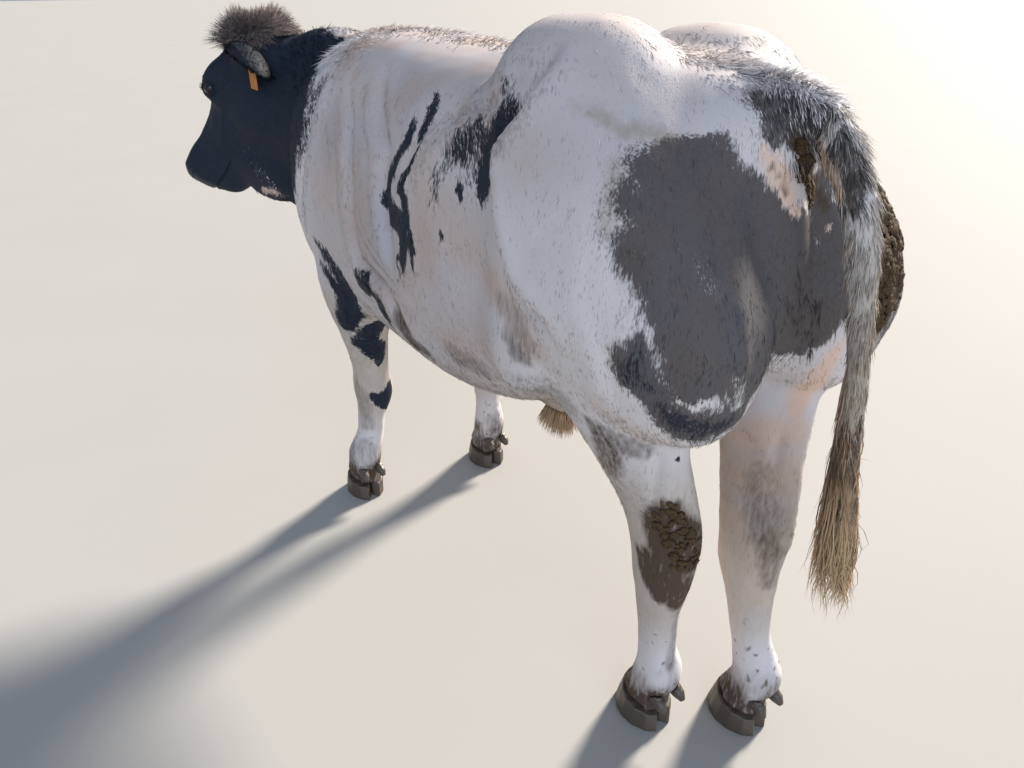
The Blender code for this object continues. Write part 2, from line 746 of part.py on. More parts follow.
def carve_mouth(head):
    """The groove between the lips, and the two nostrils."""
    frame = head_frame()
    path = [
        (-0.062, -0.330, -0.128),
        (-0.068, -0.385, -0.126),
        (-0.060, -0.432, -0.118),
        (-0.032, -0.464, -0.110),
        (0.000, -0.474, -0.108),
        (0.032, -0.464, -0.110),
        (0.060, -0.432, -0.118),
        (0.068, -0.385, -0.126),
        (0.062, -0.330, -0.128),
    ]
    centre = Vector((0, -0.330, -0.118))
    rings = []
    for p in path:
        p = Vector(p)
        out = p - centre
        out.z = 0
        out.normalize()
        up = Vector((0, 0, 1))
        corners = ((-0.016, -0.001), (0.030, -0.010), (0.030, 0.010), (-0.016, 0.001))
        rings.append([frame @ (p + out * a + up * b) for a, b in corners])
    bm = bmesh.new()
    loft(bm, rings)
    fuse(head, object_from(bm, "mouth"))
    for side in SIDES.values():
        bm = bmesh.new()
        mass(bm, (0.036 * side, -0.468, -0.036), (0.015, 0.016, 0.022), (20, 0, 30 * side), frame, detail=2)
        fuse(head, object_from(bm, "nostril"))


# Tail from its root, and the switch of hair at its end: x, y, z, half width, half depth
TAIL = [
    (0.000, 0.500, 1.285, 0.046, 0.040),
    (0.000, 0.570, 1.290, 0.044, 0.038),
    (0.000, 0.632, 1.268, 0.040, 0.035),
    (0.000, 0.690, 1.205, 0.034, 0.031),
    (0.002, 0.728, 1.110, 0.029, 0.028),
    (0.004, 0.752, 1.000, 0.025, 0.024),
    (0.006, 0.768, 0.900, 0.022, 0.021),
    (0.008, 0.783, 0.790, 0.020, 0.019),
    (0.008, 0.789, 0.760, 0.020, 0.019),
]
SWITCH_CORE = [
    (0.008, 0.778, 0.820, 0.0198, 0.0188),
    (0.008, 0.783, 0.790, 0.0200, 0.0190),
    (0.008, 0.795, 0.735, 0.024, 0.021),
    (0.008, 0.806, 0.685, 0.019, 0.017),
    (0.008, 0.818, 0.640, 0.006, 0.006),
]
SWITCH_LOCKS, SWITCH_LOCK_WIDTH, SWITCH_TIPS = 16, 0.031, (0.535, 0.625)
SWITCH_HANG, GOLDEN_TURN = Vector((-0.01, 0.20, -0.98)), 2.399963
SWITCH_ROOT, SWITCH_AHEAD = Vector((0.008, 0.783, 0.790)), Vector((0, -0.16, 0.99))

# Long hair. A lock is flat and tapers: share of its length, width and thickness there
HAIR_SEED = 7
LOCK_SHAPE = [(-0.14, 0.75, 1.00), (0.22, 1.00, 0.95), (0.50, 0.85, 0.80), (0.78, 0.52, 0.55), (1.00, 0.08, 0.22)]


def lock(root, aim, flat, length, width, thickness, bend):
    """One lock that leaves the root along aim, lies across flat and curves towards bend."""
    rings = []
    for share, wide, thick in LOCK_SHAPE:
        middle = root + aim * (length * share) + bend * (length * share * abs(share))
        along = (aim + bend * (2 * abs(share))).normalized()
        across = along.cross(flat).normalized()
        out = across.cross(along)
        a, b = across * (width / 2 * wide), out * (thickness / 2 * thick)
        rings.append([middle + a, middle + b, middle - a, middle - b])
    bm = bmesh.new()
    loft(bm, rings)
    return object_from(bm, "lock")


def fuse_locks(core, locks):
    """One union of the core with all its locks."""
    group = bpy.data.collections.new("locks")
    for obj in locks:
        group.objects.link(obj)
    step = core.modifiers.new("locks", "BOOLEAN")
    step.operation = "UNION"
    step.operand_type = "COLLECTION"
    step.solver = "MANIFOLD"
    step.collection = group
    apply_modifiers(core)
    for obj in locks:
        bpy.data.objects.remove(obj, do_unlink=True)
    bpy.data.collections.remove(group)


# Poll tuft: middle and radii of its core, from the poll with x to the left, y back, z up
POLL_CORE, POLL_RADII = Vector((0.000, 0.006, 0.008)), Vector((0.074, 0.060, 0.030))
POLL_LOCKS, POLL_LOCK_LENGTH, POLL_LOCK_WIDTH, POLL_LOCK_THICKNESS = 26, 0.066, 0.036, 0.012
# The hair parts here and falls away to all sides, longest over the forehead
WHORL_SHARE, FORELOCK_GAIN = 0.15, 0.22


def poll_tuft(others):
    """The tuft between the ears, whose locks fall outwards from a whorl."""
    rng = random.Random(HAIR_SEED)
    frame = Matrix.Translation(POLL) @ Matrix.Rotation(math.radians(FACE_TURN), 4, "Z")
    turn = frame.to_3x3()
    bm = bmesh.new()
    mass(bm, POLL_CORE, POLL_RADII, frame=frame, detail=2)
    tuft = object_from(bm, "poll_tuft")
    locks = []
    for k in range(POLL_LOCKS):
        share = WHORL_SHARE + (1 - WHORL_SHARE) * math.sqrt((k + 0.5) / POLL_LOCKS)
        round_turn = k * GOLDEN_TURN
        out = Vector((math.cos(round_turn), math.sin(round_turn), 0))
        up = Vector((0, 0, 1))
        rise = math.sqrt(1 - 0.8 * share * share)
        seat = out * (0.75 * share) + up * (0.55 * rise)
        root = POLL_CORE + Vector([a * b for a, b in zip(seat, POLL_RADII)])
        aim = out * (0.25 + 0.55 * share) + up * (1.10 - 0.55 * share)
        aim += Vector((rng.uniform(-0.15, 0.15), rng.uniform(-0.15, 0.15), 0))
        bend = out * 0.28 - up * (0.20 + 0.55 * share) + Vector((rng.uniform(-0.25, 0.25), rng.uniform(-0.25, 0.25), 0))
        length = POLL_LOCK_LENGTH * (1 - FORELOCK_GAIN * out.y) * rng.uniform(0.82, 1.12)
        width = POLL_LOCK_WIDTH * rng.uniform(0.85, 1.15)
        flat = turn @ (aim.cross(out.cross(up))).normalized()
        locks.append(
            lock(frame @ root, (turn @ aim).normalized(), flat, length, width, POLL_LOCK_THICKNESS, turn @ bend)
        )
    fuse_locks(tuft, locks)
    for other in others:
        fuse(tuft, swollen(other), solver="MANIFOLD")
    return tuft


# Sheath tuft: core, then locks round it
SHEATH_CORE = [
    (0.000, 0.080, 0.595, 0.026, 0.030),
    (0.000, 0.084, 0.570, 0.020, 0.024),
    (0.000, 0.088, 0.548, 0.008, 0.010),
]
SHEATH_LOCKS, SHEATH_LOCK_LENGTH = 11, 0.066


def sheath_tuft(trunk):
    rng = random.Random(HAIR_SEED)
    tuft = closed_tube("sheath_tuft", SHEATH_CORE, 1, 10)
    locks = []
    for k in range(SHEATH_LOCKS):
        turn = 2 * math.pi * k / SHEATH_LOCKS
        out = Vector((math.cos(turn), math.sin(turn), 0))
        root = Vector((0, 0.082, 0.580)) + out * 0.014
        aim = (Vector((0, 0.05, -1)) + out * rng.uniform(0.22, 0.42)).normalized()
        bend = out * -0.18 + Vector((rng.uniform(-0.15, 0.15), rng.uniform(-0.10, 0.15), 0))
        length = SHEATH_LOCK_LENGTH * rng.uniform(0.80, 1.15)
        locks.append(lock(root, aim, out, length, 0.020, 0.008, bend))
    fuse_locks(tuft, locks)
    fuse(tuft, swollen(trunk), solver="MANIFOLD")
    return tuft


def switch_locks():
    """Long locks of the tail's switch, hanging from all along its core."""
    rng = random.Random(HAIR_SEED)
    rows = smooth_values(SWITCH_CORE, 6)
    locks = []
    for k in range(SWITCH_LOCKS):
        share = (k + 0.5) / SWITCH_LOCKS
        x, y, z, half, depth = rows[1 + int(share * (len(rows) - 3))]
        turn = k * GOLDEN_TURN
        out = Vector((math.cos(turn), math.sin(turn), 0))
        root = Vector((x + out.x * half * 0.6, y + out.y * depth * 0.6, z))
        tip_z = SWITCH_TIPS[0] + (SWITCH_TIPS[1] - SWITCH_TIPS[0]) * rng.random() * (1.1 - 0.7 * share)
        length = max(root.z - tip_z, 0.07)
        aim = (SWITCH_HANG + out * (0.24 * (1 - 0.35 * share))).normalized()
        bend = out * -0.17 + Vector((rng.uniform(-0.10, 0.10), rng.uniform(-0.08, 0.08), 0))
        locks.append(lock(root, aim, out, length, SWITCH_LOCK_WIDTH * rng.uniform(0.8, 1.2), 0.010, bend))
    return locks


def closed_tube(name, stations, steps, sides):
    bm = bmesh.new()
    tube(bm, stations, steps=steps, sides=sides)
    return object_from(bm, name)


# Colours: name, base colour, roughness
PAINTS = {
    "dark_coat": ((0.018, 0.019, 0.026, 1), 0.75),
    "pale_coat": ((0.62, 0.57, 0.53, 1), 0.80),
    "grizzled_hair": ((0.10, 0.085, 0.08, 1), 0.80),
    "straw_hair": ((0.36, 0.24, 0.13, 1), 0.80),
    "cream_hair": ((0.60, 0.45, 0.30, 1), 0.80),
    "claw_horn": ((0.045, 0.036, 0.030, 1), 0.55),
    "eye_gloss": ((0.010, 0.008, 0.008, 1), 0.15),
    "tag_plastic": ((0.55, 0.22, 0.05, 1), 0.50),
}


def paint(obj, kind):
    """A material of its own for the node."""
    colour, roughness = PAINTS[kind]
    material = bpy.data.materials.new(obj.name + "_" + kind)
    material.use_nodes = True
    shader = material.node_tree.nodes["Principled BSDF"]
    shader.inputs["Base Color"].default_value = colour
    shader.inputs["Roughness"].default_value = roughness
    obj.data.materials.clear()
    obj.data.materials.append(material)


def keep_largest(bm):
    """Leaves only the closed surface with the most room in it."""
    todo = set(bm.faces)
    shells = []
    while todo:
        start = todo.pop()
        shell, front = [start], [start]
        while front:
            for edge in front.pop().edges:
                for face in edge.link_faces:
                    if face in todo:
                        todo.remove(face)
                        shell.append(face)
                        front.append(face)
        shells.append(shell)
    if len(shells) > 1:
        shells.sort(key=lambda faces: sum(f.calc_area() for f in faces))
        spare = [f for shell in shells[:-1] for f in shell]
        bmesh.ops.delete(bm, geom=spare, context="FACES")


def finish(obj):
    """One closed shell of triangles with outward normals."""
    bm = bmesh.new()
    bm.from_mesh(obj.data)
    keep_largest(bm)
    bmesh.ops.triangulate(bm, faces=bm.faces, quad_method="BEAUTY", ngon_method="BEAUTY")
    bmesh.ops.recalc_face_normals(bm, faces=bm.faces)
    bm.to_mesh(obj.data)
    bm.free()
    obj.data.name = obj.name


NECK_ROOT, NECK_AHEAD = Vector((0, -0.600, 1.330)), Vector((0, -0.882, 0.471))
HEAD_BACK, HEAD_CUT_TILT = Vector((0, 0.044, 0.026)), 31


def head_plane():
    """The cut between neck and head: from behind the poll down behind the jaw."""
    turn, tilt = math.radians(FACE_TURN), math.radians(HEAD_CUT_TILT)
    level = Vector((math.sin(turn), -math.cos(turn), 0))
    return head_frame() @ HEAD_BACK, level * math.cos(tilt) - Vector((0, 0, math.sin(tilt)))


def main():
    clear_scene()
    body = body_surface()
    point, ahead = head_plane()
    thin_out(body, HEAD_TRIANGLES, lambda co: (co - point).dot(ahead) > 0)
    thin_out(body, BODY_TRIANGLES, lambda co: (co - point).dot(ahead) <= 0)
    front = side_of_plane(body, "front", NECK_ROOT, NECK_AHEAD)
    trunk = side_of_plane(body, "torso", NECK_ROOT, -NECK_AHEAD)
    head = side_of_plane(front, "head", point, ahead)
    neck = side_of_plane(front, "neck", point, -ahead)
    nodes = [(trunk, "pale_coat"), (neck, "dark_coat"), (head, "dark_coat")]
    for spent in (body, front):
        bpy.data.objects.remove(spent)

    legs = {}
    for name in SOLES:
        whole, side = name.split("_")
        leg = copy_of(trunk, whole + "leg_" + side)
        fuse(leg, leg_block(name, 0.0), "INTERSECT")
        legs[name] = leg
    for name in SOLES:
        fuse(trunk, leg_block(name, GAP))
    for name, leg in list(legs.items()):
        coronet, up = coronet_plane(name)
        shortened = side_of_plane(leg, leg.name + "_cut", coronet, up)
        finish(shortened)
        bpy.data.objects.remove(leg)
        shortened.name = name.split("_")[0] + "leg_" + name.split("_")[1]
        legs[name] = shortened
        nodes.append((shortened, "pale_coat"))
        inward = -1 if name.endswith("left") else 1
        for place, side in (("inner", inward), ("outer", -inward)):
            nodes.append((claw(f"claw_{name}_{place}", name, side), "claw_horn"))
            nodes.append((dewclaw(f"dewclaw_{name}_{place}", name, side, shortened), "claw_horn"))

    for word, side in SIDES.items():
        add_lids(head, side)
        bm = bmesh.new()
        place = Matrix.Translation(eye_place(side))
        bmesh.ops.create_icosphere(bm, subdivisions=2, radius=EYE_RADIUS, matrix=place)
        eye = object_from(bm, "eye_" + word)
        fuse(head, swollen(eye))
        nodes.append((eye, "eye_gloss"))
    carve_mouth(head)
    finish(head)

    tag = ear_tag(LEFT)
    nodes.append((tag, "tag_plastic"))
    for word, side in SIDES.items():
        flap = ear("ear_" + word, side, (head, neck))
        if side == LEFT:
            fuse(flap, swollen(tag))
        nodes.append((flap, "dark_coat"))

    whole = closed_tube("tail_whole", TAIL, 2, 14)
    tail = side_of_plane(whole, "tail", SWITCH_ROOT, SWITCH_AHEAD)
    fuse(tail, swollen(trunk))
    core = closed_tube("switch_whole", SWITCH_CORE, 2, 12)
    fuse_locks(core, switch_locks())
    switch = side_of_plane(core, "tail_switch", SWITCH_ROOT, -SWITCH_AHEAD)
    for spent in (whole, core):
        bpy.data.objects.remove(spent)
    nodes += [(tail, "pale_coat"), (switch, "straw_hair")]
    nodes.append((sheath_tuft(trunk), "cream_hair"))
    ears = [obj for obj, _ in nodes if obj.name in ("ear_left", "ear_right")]
    nodes.append((poll_tuft([head, neck] + ears), "grizzled_hair"))

    for obj, kind in nodes:
        finish(obj)
        paint(obj, kind)
    recentre([obj for obj, _ in nodes])


def recentre(objects):
    """Moves the bull so that the middle of its box is at X = 0, Y = 0."""
    corners = np.array([tuple(v.co) for obj in objects for v in obj.data.vertices])
    middle = (corners.min(axis=0) + corners.max(axis=0)) / 2
    move = Matrix.Translation((-middle[0], -middle[1], 0))
    for obj in objects:
        obj.data.transform(move)


main()
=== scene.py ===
import math

import bmesh
import bpy
import numpy as np
from mathutils import Matrix, Vector
from mathutils.bvhtree import BVHTree


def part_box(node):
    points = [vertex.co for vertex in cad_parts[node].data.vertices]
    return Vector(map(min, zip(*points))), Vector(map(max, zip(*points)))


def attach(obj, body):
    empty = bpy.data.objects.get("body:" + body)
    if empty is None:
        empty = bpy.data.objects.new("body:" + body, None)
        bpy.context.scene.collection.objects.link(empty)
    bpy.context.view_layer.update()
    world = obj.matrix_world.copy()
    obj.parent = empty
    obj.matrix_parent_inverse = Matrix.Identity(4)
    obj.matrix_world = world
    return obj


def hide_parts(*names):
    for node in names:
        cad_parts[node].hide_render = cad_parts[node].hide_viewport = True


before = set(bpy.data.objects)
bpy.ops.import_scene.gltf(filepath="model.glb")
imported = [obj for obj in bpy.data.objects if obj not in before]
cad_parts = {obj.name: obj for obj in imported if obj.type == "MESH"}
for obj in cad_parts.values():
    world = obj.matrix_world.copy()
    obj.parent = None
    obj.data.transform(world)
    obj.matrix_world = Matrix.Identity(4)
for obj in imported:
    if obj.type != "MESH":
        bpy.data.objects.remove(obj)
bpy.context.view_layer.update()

# Bull space: it faces -Y, its left is +X, Y = 0 midway between the feet. The row frame is moved by this much
soleLow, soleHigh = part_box("claw_hind_left_outer")
shift = Vector((soleLow.x - 0.0835, soleHigh.y - 0.559, 0))
shiftRow = np.array(shift)
sides = {"left": 1, "right": -1}

headValues = {"poll": (0.230, -1.010, 1.303), "turn": 35, "drop": 52, "roll": 4}


def headPlace():  # head space: X to the bull's left, -Y down the face, Z out of it
    return (
        Matrix.Translation(Vector(headValues["poll"]) + shift)
        @ Matrix.Rotation(math.radians(headValues["turn"]), 4, "Z")
        @ Matrix.Rotation(math.radians(headValues["drop"]), 4, "X")
        @ Matrix.Rotation(math.radians(headValues["roll"]), 4, "Y")
    )


headInverse = np.array(headPlace().inverted())
headAxes = np.array(headPlace())[:3, :3]


def toHead(co):  # row frame points in head space
    return co @ headInverse[:3, :3].T + headInverse[:3, 3]


def toBull(co):
    return co - shiftRow


# number fields over points
def smoothStep(low, high, x):
    t = np.clip((x - low) / (high - low), 0, 1)
    return t * t * (3 - 2 * t)


def bell(x, middle, width):
    return np.exp(-((x - middle) / width) ** 2)


def blend(first, second, share):
    return first * (1 - share[:, None]) + second * share[:, None]


def hashed(cell, seed):
    value = np.sin(cell @ np.array((127.1, 311.7, 74.7)) + seed * 17.3) * 43758.5453
    return value - np.floor(value)


def softNoise(co, size, seed=0):  # smooth, from -1 to 1; size is one number or three
    p = co / np.array(size)
    cell = np.floor(p)
    f = p - cell
    u = f * f * (3 - 2 * f)
    near = (1 - u, u)
    total = np.zeros(len(co))
    for i, j, k in np.ndindex(2, 2, 2):
        weight = near[i][:, 0] * near[j][:, 1] * near[k][:, 2]
        total += weight * hashed(cell + np.array((i, j, k)), seed)
    return total * 2 - 1


def window(value, *limits):  # the product of a smooth step over each pair of limits
    share = 1
    for low, high in limits:
        share = share * smoothStep(low, high, value)
    return share


def softNoises(co, size, seeds):  # one noise along each axis
    return np.stack([softNoise(co, size, seed) for seed in seeds], axis=1)


def pathDistance(co, path):  # distance less the path's own radius there, and the share along it
    path = np.array(path, float)
    if len(path) == 1:
        path = np.vstack([path, path])
    best = np.full(len(co), 1e9)
    share = np.zeros(len(co))
    for i in range(len(path) - 1):
        a, b = path[i, :3], path[i + 1, :3]
        ab = b - a
        t = np.clip(((co - a) @ ab) / max(ab @ ab, 1e-12), 0, 1)
        d = np.linalg.norm(co - a - t[:, None] * ab, axis=1) - (path[i, 3] * (1 - t) + path[i + 1, 3] * t)
        nearer = d < best
        best[nearer] = d[nearer]
        share[nearer] = (i + t[nearer]) / (len(path) - 1)
    return best, share


def lineDistance(co, line):  # the same for a line of bare points
    return pathDistance(co, [(*point, 0.0) for point in line])


# markings, in bull space: strength, softness of the edge, then points with a radius
markings = {
    "dark": [
        # where the neck turns pale
        (.6, .026, [(.237, -.532, 1.241, .01), (.264, -.551, 1.198, .016), (.284, -.562, 1.144, .018),
            (.296, -.586, 1.081, .016), (.3, -.613, 1.029, .01)]),
        # streaks down the ribs
        (.9, .012, [(.236, -.031, 1.261, .005), (.253, -.014, 1.247, .01), (.272, -.001, 1.226, .012),
            (.287, -.004, 1.204, .01), (.302, -.006, 1.177, .006)]),
        (1, .012, [(.277, -.05, 1.213, .006), (.288, -.045, 1.197, .016), (.3, -.045, 1.174, .017),
            (.308, -.061, 1.151, .014), (.318, -.076, 1.114, .018), (.325, -.101, 1.067, .02)]),
        (1, .012, [(.325, -.101, 1.067, .02), (.331, -.074, 1.044, .025), (.338, -.023, 1.031, .024),
            (.341, -.004, 1.005, .022), (.342, -.012, .969, .016), (.344, -.005, .945, .006)]),
        (.95, .009, [(.276, .019, 1.222, .004), (.299, .019, 1.186, .007), (.312, .009, 1.154, .007),
            (.321, -.01, 1.126, .009), (.328, -.024, 1.091, .01), (.335, .003, 1.064, .011),
            (.34, .028, 1.024, .011), (.342, .034, .987, .011), (.343, .031, .955, .004)]),
        (1, .004, [(.34, -.037, .96, .005), (.342, -.026, .93, .004), (.341, -.015, .9, .004),
            (.341, .002, .882, .005), (.34, .019, .866, .005), (.337, .03, .848, .002)]),
        (.8, .004, [(.308, -.112, 1.133, .001), (.312, -.133, 1.11, .003), (.316, -.137, 1.094, .001)]),
        # roan patch before the thigh
        (.62, .024, [(.282, .24, 1.315, .004), (.295, .269, 1.299, .014), (.306, .288, 1.276, .018),
            (.311, .277, 1.249, .021)]),
        (.85, .016, [(.299, .334, 1.3, .004), (.303, .325, 1.29, .009), (.309, .313, 1.273, .013),
            (.314, .296, 1.252, .015)]),
        (.95, .018, [(.31, .271, 1.248, .018), (.31, .256, 1.219, .021), (.306, .236, 1.188, .022),
            (.306, .228, 1.158, .019), (.308, .228, 1.132, .014)]),
        (.62, .028, [(.3, .217, 1.228, .016), (.3, .18, 1.207, .018), (.302, .157, 1.18, .015)]),
        (.55, .03, [(.3, .156, 1.206, .013), (.303, .126, 1.182, .017), (.311, .108, 1.158, .017),
            (.319, .096, 1.135, .015), (.326, .099, 1.105, .014)]),
        (.95, .009, [(.311, .165, 1.14, .004), (.314, .165, 1.125, .008), (.316, .166, 1.113, .004)]),
        (1, .005, [(.331, .132, 1.054, .002), (.332, .13, 1.039, .005), (.332, .132, 1.025, .002)]),
        (.35, .019, [(.327, .103, 1.098, .009), (.332, .098, 1.069, .007)]),
        (.5, .018, [(.302, .204, 1.162, .01), (.308, .188, 1.137, .009)]),
        # arm
        (.8, .02, [(.306, -.545, .855, .007), (.303, -.507, .838, .017), (.298, -.47, .818, .019),
            (.29, -.447, .795, .022), (.279, -.438, .755, .025)]),
        (.85, .02, [(.303, -.536, .801, .007), (.301, -.488, .772, .013), (.291, -.464, .739, .019)]),
        (1, .018, [(.277, -.445, .726, .035), (.27, -.458, .679, .038), (.269, -.496, .631, .026)]),
        (1, .015, [(.31, -.286, .829, .026), (.318, -.223, .84, .031), (.318, -.2, .828, .023)]),
        (1, .016, [(.321, -.156, .824, .014), (.306, -.18, .777, .025)]),
        (1, .016, [(.195, -.461, .61, .033), (.226, -.472, .597, .02)]),
        (1, .015, [(.245, -.505, .569, .018), (.216, -.486, .559, .033), (.179, -.494, .528, .031),
            (.161, -.51, .491, .014)]),
        # knee
        (1, .012, [(.188, -.529, .372, .012), (.163, -.526, .352, .025), (.14, -.543, .313, .012)]),
        (1, .012, [(.122, -.538, .4, .009), (.131, -.532, .376, .019), (.149, -.526, .351, .023)]),
        (1, .006, [(.135, -.532, .426, .003)]),
        # round the tail's root
        (.3, .022, [(.039, .576, 1.305, .011), (.038, .599, 1.3, .016), (.034, .623, 1.294, .016),
            (.03, .647, 1.284, .016), (.025, .669, 1.268, .014)]),
        (.3, .019, [(.048, .578, 1.28, .011), (.04, .596, 1.276, .014), (.04, .619, 1.271, .016),
            (.036, .65, 1.264, .016)]),
        (.45, .012, [(.019, .613, 1.23, .01), (-.004, .615, 1.202, .01), (-.063, .596, 1.164, .009),
            (-.092, .601, 1.133, .009)]),
        # painted shade: darkens the sunlit valley of the left buttock, down toward the tail
        (.3, .043, [(.097, .604, 1.134, .014), (.091, .615, 1.1, .025), (.102, .639, 1.067, .032),
            (.1, .655, 1.026, .032), (.102, .667, .988, .027), (.127, .677, .961, .022),
            (.142, .683, .925, .013)]),
        # thigh
        (.6, .02, [(.313, .606, 1.01, .003), (.314, .602, .985, .011), (.313, .598, .958, .017),
            (.301, .612, .939, .014), (.291, .626, .931, .009)]),
        # under the thigh
        (.64, .023, [(.276, .635, .901, .009), (.256, .646, .875, .017), (.23, .661, .859, .019),
            (.202, .674, .861, .016), (.167, .681, .869, .009)]),
        # gaskin
        (1, .003, [(.177, .59, .754, .003), (.166, .592, .726, .003)]),
        # thinly mixed dark hair over shoulder and loin
        (.17, .06, [(.2, -.35, 1.27, .04), (.23, -.15, 1.26, .05), (.26, .08, 1.25, .05),
            (.28, .24, 1.27, .03)]),
        (.15, .05, [(.24, -.5, 1.2, .03), (.29, -.5, 1.08, .03), (.3, -.5, .95, .02)]),
        (.45, .035, [(.29, .16, 1.18, .03), (.3, .22, 1.2, .04), (.3, .27, 1.25, .03)]),
        # the side that the photo hides, and under the chest
        (.9, .03, [(-.28, .06, 1.2, .02), (-.31, .03, 1.1, .035), (-.335, .06, 1.0, .03),
            (-.335, .08, .9, .01)]),
        (.75, .04, [(-.29, .25, 1.24, .03), (-.3, .2, 1.18, .03), (-.31, .16, 1.12, .015)]),
        (.95, .02, [(-.3, -.06, 1.14, .01), (-.33, -.08, 1.05, .015), (-.335, -.05, .98, .006)]),
        (1, .02, [(-.3, -.5, .84, .012), (-.295, -.47, .77, .025), (-.27, -.48, .68, .02),
            (-.25, -.5, .58, .012)]),
        (.85, .04, [(-.3, .4, 1.14, .03), (-.325, .44, 1.05, .045), (-.3, .5, .94, .025)]),
        (1, .015, [(-.06, -.29, .63, .03), (.1, -.26, .6, .035)]),
    ],
    "grey": [
        # thigh
        (1, .019, [(.313, .607, 1.005, .015), (.314, .602, .981, .024), (.31, .603, .959, .029),
            (.297, .618, .936, .024), (.281, .634, .915, .023)]),
        # under the thigh
        (1, .019, [(.276, .635, .901, .02), (.254, .648, .875, .031), (.227, .663, .859, .032),
            (.199, .675, .86, .029), (.158, .679, .866, .022)]),
        # below the patch
        (.55, .026, [(.302, .622, .995, .016), (.277, .644, .93, .02), (.241, .673, .907, .02),
            (.171, .687, .903, .022)]),
        # round the tail's root
        (.9, .021, [(.048, .553, 1.298, .014), (.042, .584, 1.291, .024), (.04, .617, 1.281, .027),
            (.035, .651, 1.269, .027), (.03, .675, 1.254, .02)]),
        (.9, .017, [(.051, .59, 1.26, .02), (.033, .618, 1.254, .02), (.037, .664, 1.24, .02),
            (.034, .684, 1.214, .016)]),
        (.25, .026, [(.05, .509, 1.321, .011), (.057, .542, 1.303, .015), (.061, .57, 1.282, .016),
            (.064, .587, 1.258, .015)]),
        # to the tail
        (1, .022, [(.082, .594, 1.178, .02), (.048, .602, 1.153, .028), (.026, .623, 1.12, .029),
            (-.036, .622, 1.098, .029), (.021, .695, 1.141, .02)]),
        (1, .022, [(.052, .609, 1.111, .048), (.011, .64, 1.069, .053), (-.069, .645, 1.017, .048)]),
        (1, .022, [(.022, .712, 1.092, .024)]),
        (1, .024, [(.019, .64, 1.011, .054), (-.051, .646, .986, .048), (-.09, .662, .992, .031)]),
        (1, .022, [(.183, .686, 1.02, .049)]),
        (1, .022, [(.067, .658, .966, .045), (-.034, .636, .934, .036), (-.06, .654, .952, .027)]),
        (1, .019, [(-.071, .597, 1.148, .026), (-.089, .609, 1.106, .027), (-.095, .63, 1.072, .023)]),
        # thin mixed hair
        (.35, .033, [(.242, .518, 1.241, .02), (.28, .527, 1.201, .027), (.306, .54, 1.153, .031),
            (.313, .563, 1.109, .023)]),
        (.4, .028, [(.296, .606, 1.079, .02), (.306, .605, 1.049, .02)]),
        # thigh
        (1, .018, [(.208, .525, 1.248, .01), (.171, .543, 1.242, .019), (.128, .563, 1.241, .015)]),
        (1, .021, [(.241, .538, 1.224, .023), (.207, .561, 1.214, .041), (.156, .574, 1.21, .038)]),
        (1, .024, [(.277, .548, 1.184, .023), (.251, .581, 1.174, .044), (.193, .599, 1.175, .052),
            (.122, .596, 1.178, .042)]),
        (.9, .024, [(.295, .577, 1.126, .031), (.283, .602, 1.11, .037)]),
        (1, .027, [(.126, .607, 1.152, .05), (.052, .609, 1.111, .055), (.011, .639, 1.072, .053)]),
        (1, .027, [(.182, .644, 1.108, .059), (.114, .651, 1.052, .07), (.015, .641, .993, .058)]),
        (1, .024, [(.267, .638, 1.068, .033), (.25, .661, 1.043, .052), (.223, .686, 1.008, .052)]),
        (1, .018, [(.285, .64, 1.015, .023), (.275, .654, .98, .035), (.261, .667, .951, .031),
            (.248, .675, .939, .02)]),
        (1, .022, [(.228, .689, .965, .041), (.121, .678, .936, .048)]),
        (.9, .019, [(.289, .619, 1.067, .016), (.288, .629, 1.044, .016)]),
        # between those strokes, then behind the tail and on the right thigh
        (1, .03, [(.23, .6, 1.14, .045), (.2, .64, 1.09, .05), (.16, .66, 1.04, .05)]),
        (1, .03, [(.17, .62, 1.13, .04), (.09, .63, 1.07, .045), (.03, .64, 1.03, .035)]),
        (1, .03, [(.21, .69, .99, .05), (.13, .68, .98, .05), (.05, .66, .96, .04)]),
        (1, .025, [(.28, .64, 1.04, .02), (.25, .66, 1.0, .035), (.24, .675, .95, .03)]),
        (.9, .02, [(.02, .6, 1.12, .02), (.0, .64, 1.02, .03), (-.03, .645, .98, .02)]),
        (.8, .03, [(-.08, .56, 1.27, .02), (-.1, .59, 1.18, .03)]),
        (.7, .04, [(-.2, .6, 1.15, .03), (-.22, .65, 1.02, .04), (-.2, .66, .92, .03)]),
    ],
    "light": [
        # lighter gaps
        (.525, .018, [(.244, .628, 1.113, .004), (.232, .641, 1.101, .011), (.222, .654, 1.085, .011),
            (.218, .661, 1.075, .005)]),
        (.245, .018, [(.197, .628, 1.135, .004), (.22, .634, 1.118, .01)]),
        (.7, .011, [(.304, .618, 1.015, .003), (.299, .626, .996, .007), (.291, .637, .97, .009),
            (.28, .644, .942, .005)]),
        # light spots
        (.9, .013, [(.191, .694, .939, .008), (.165, .688, .913, .011), (.162, .686, .895, .008)]),
        (.5, .008, [(.097, .672, .947, .003), (.082, .667, .927, .005)]),
        (.9, .011, [(.271, .647, .918, .003), (.253, .665, .911, .005), (.225, .685, .917, .008),
            (.186, .689, .909, .005)]),
    ],
    "mudAndShade": [
        # gaskin
        (.7, .018, [(.267, .486, .794, .016), (.251, .496, .763, .03), (.228, .48, .701, .027)]),
        (.6, .018, [(.252, .514, .781, .023), (.225, .551, .774, .023)]),
        # flank
        (.45, .017, [(.337, .31, .986, .016), (.342, .35, .965, .024), (.34, .38, .941, .024),
            (.336, .396, .917, .018)]),
        (.6, .012, [(.342, .341, .923, .016), (.34, .358, .903, .016), (.335, .385, .894, .013)]),
        (.35, .02, [(.314, .106, .798, .018), (.303, .143, .797, .024), (.288, .173, .787, .018)]),
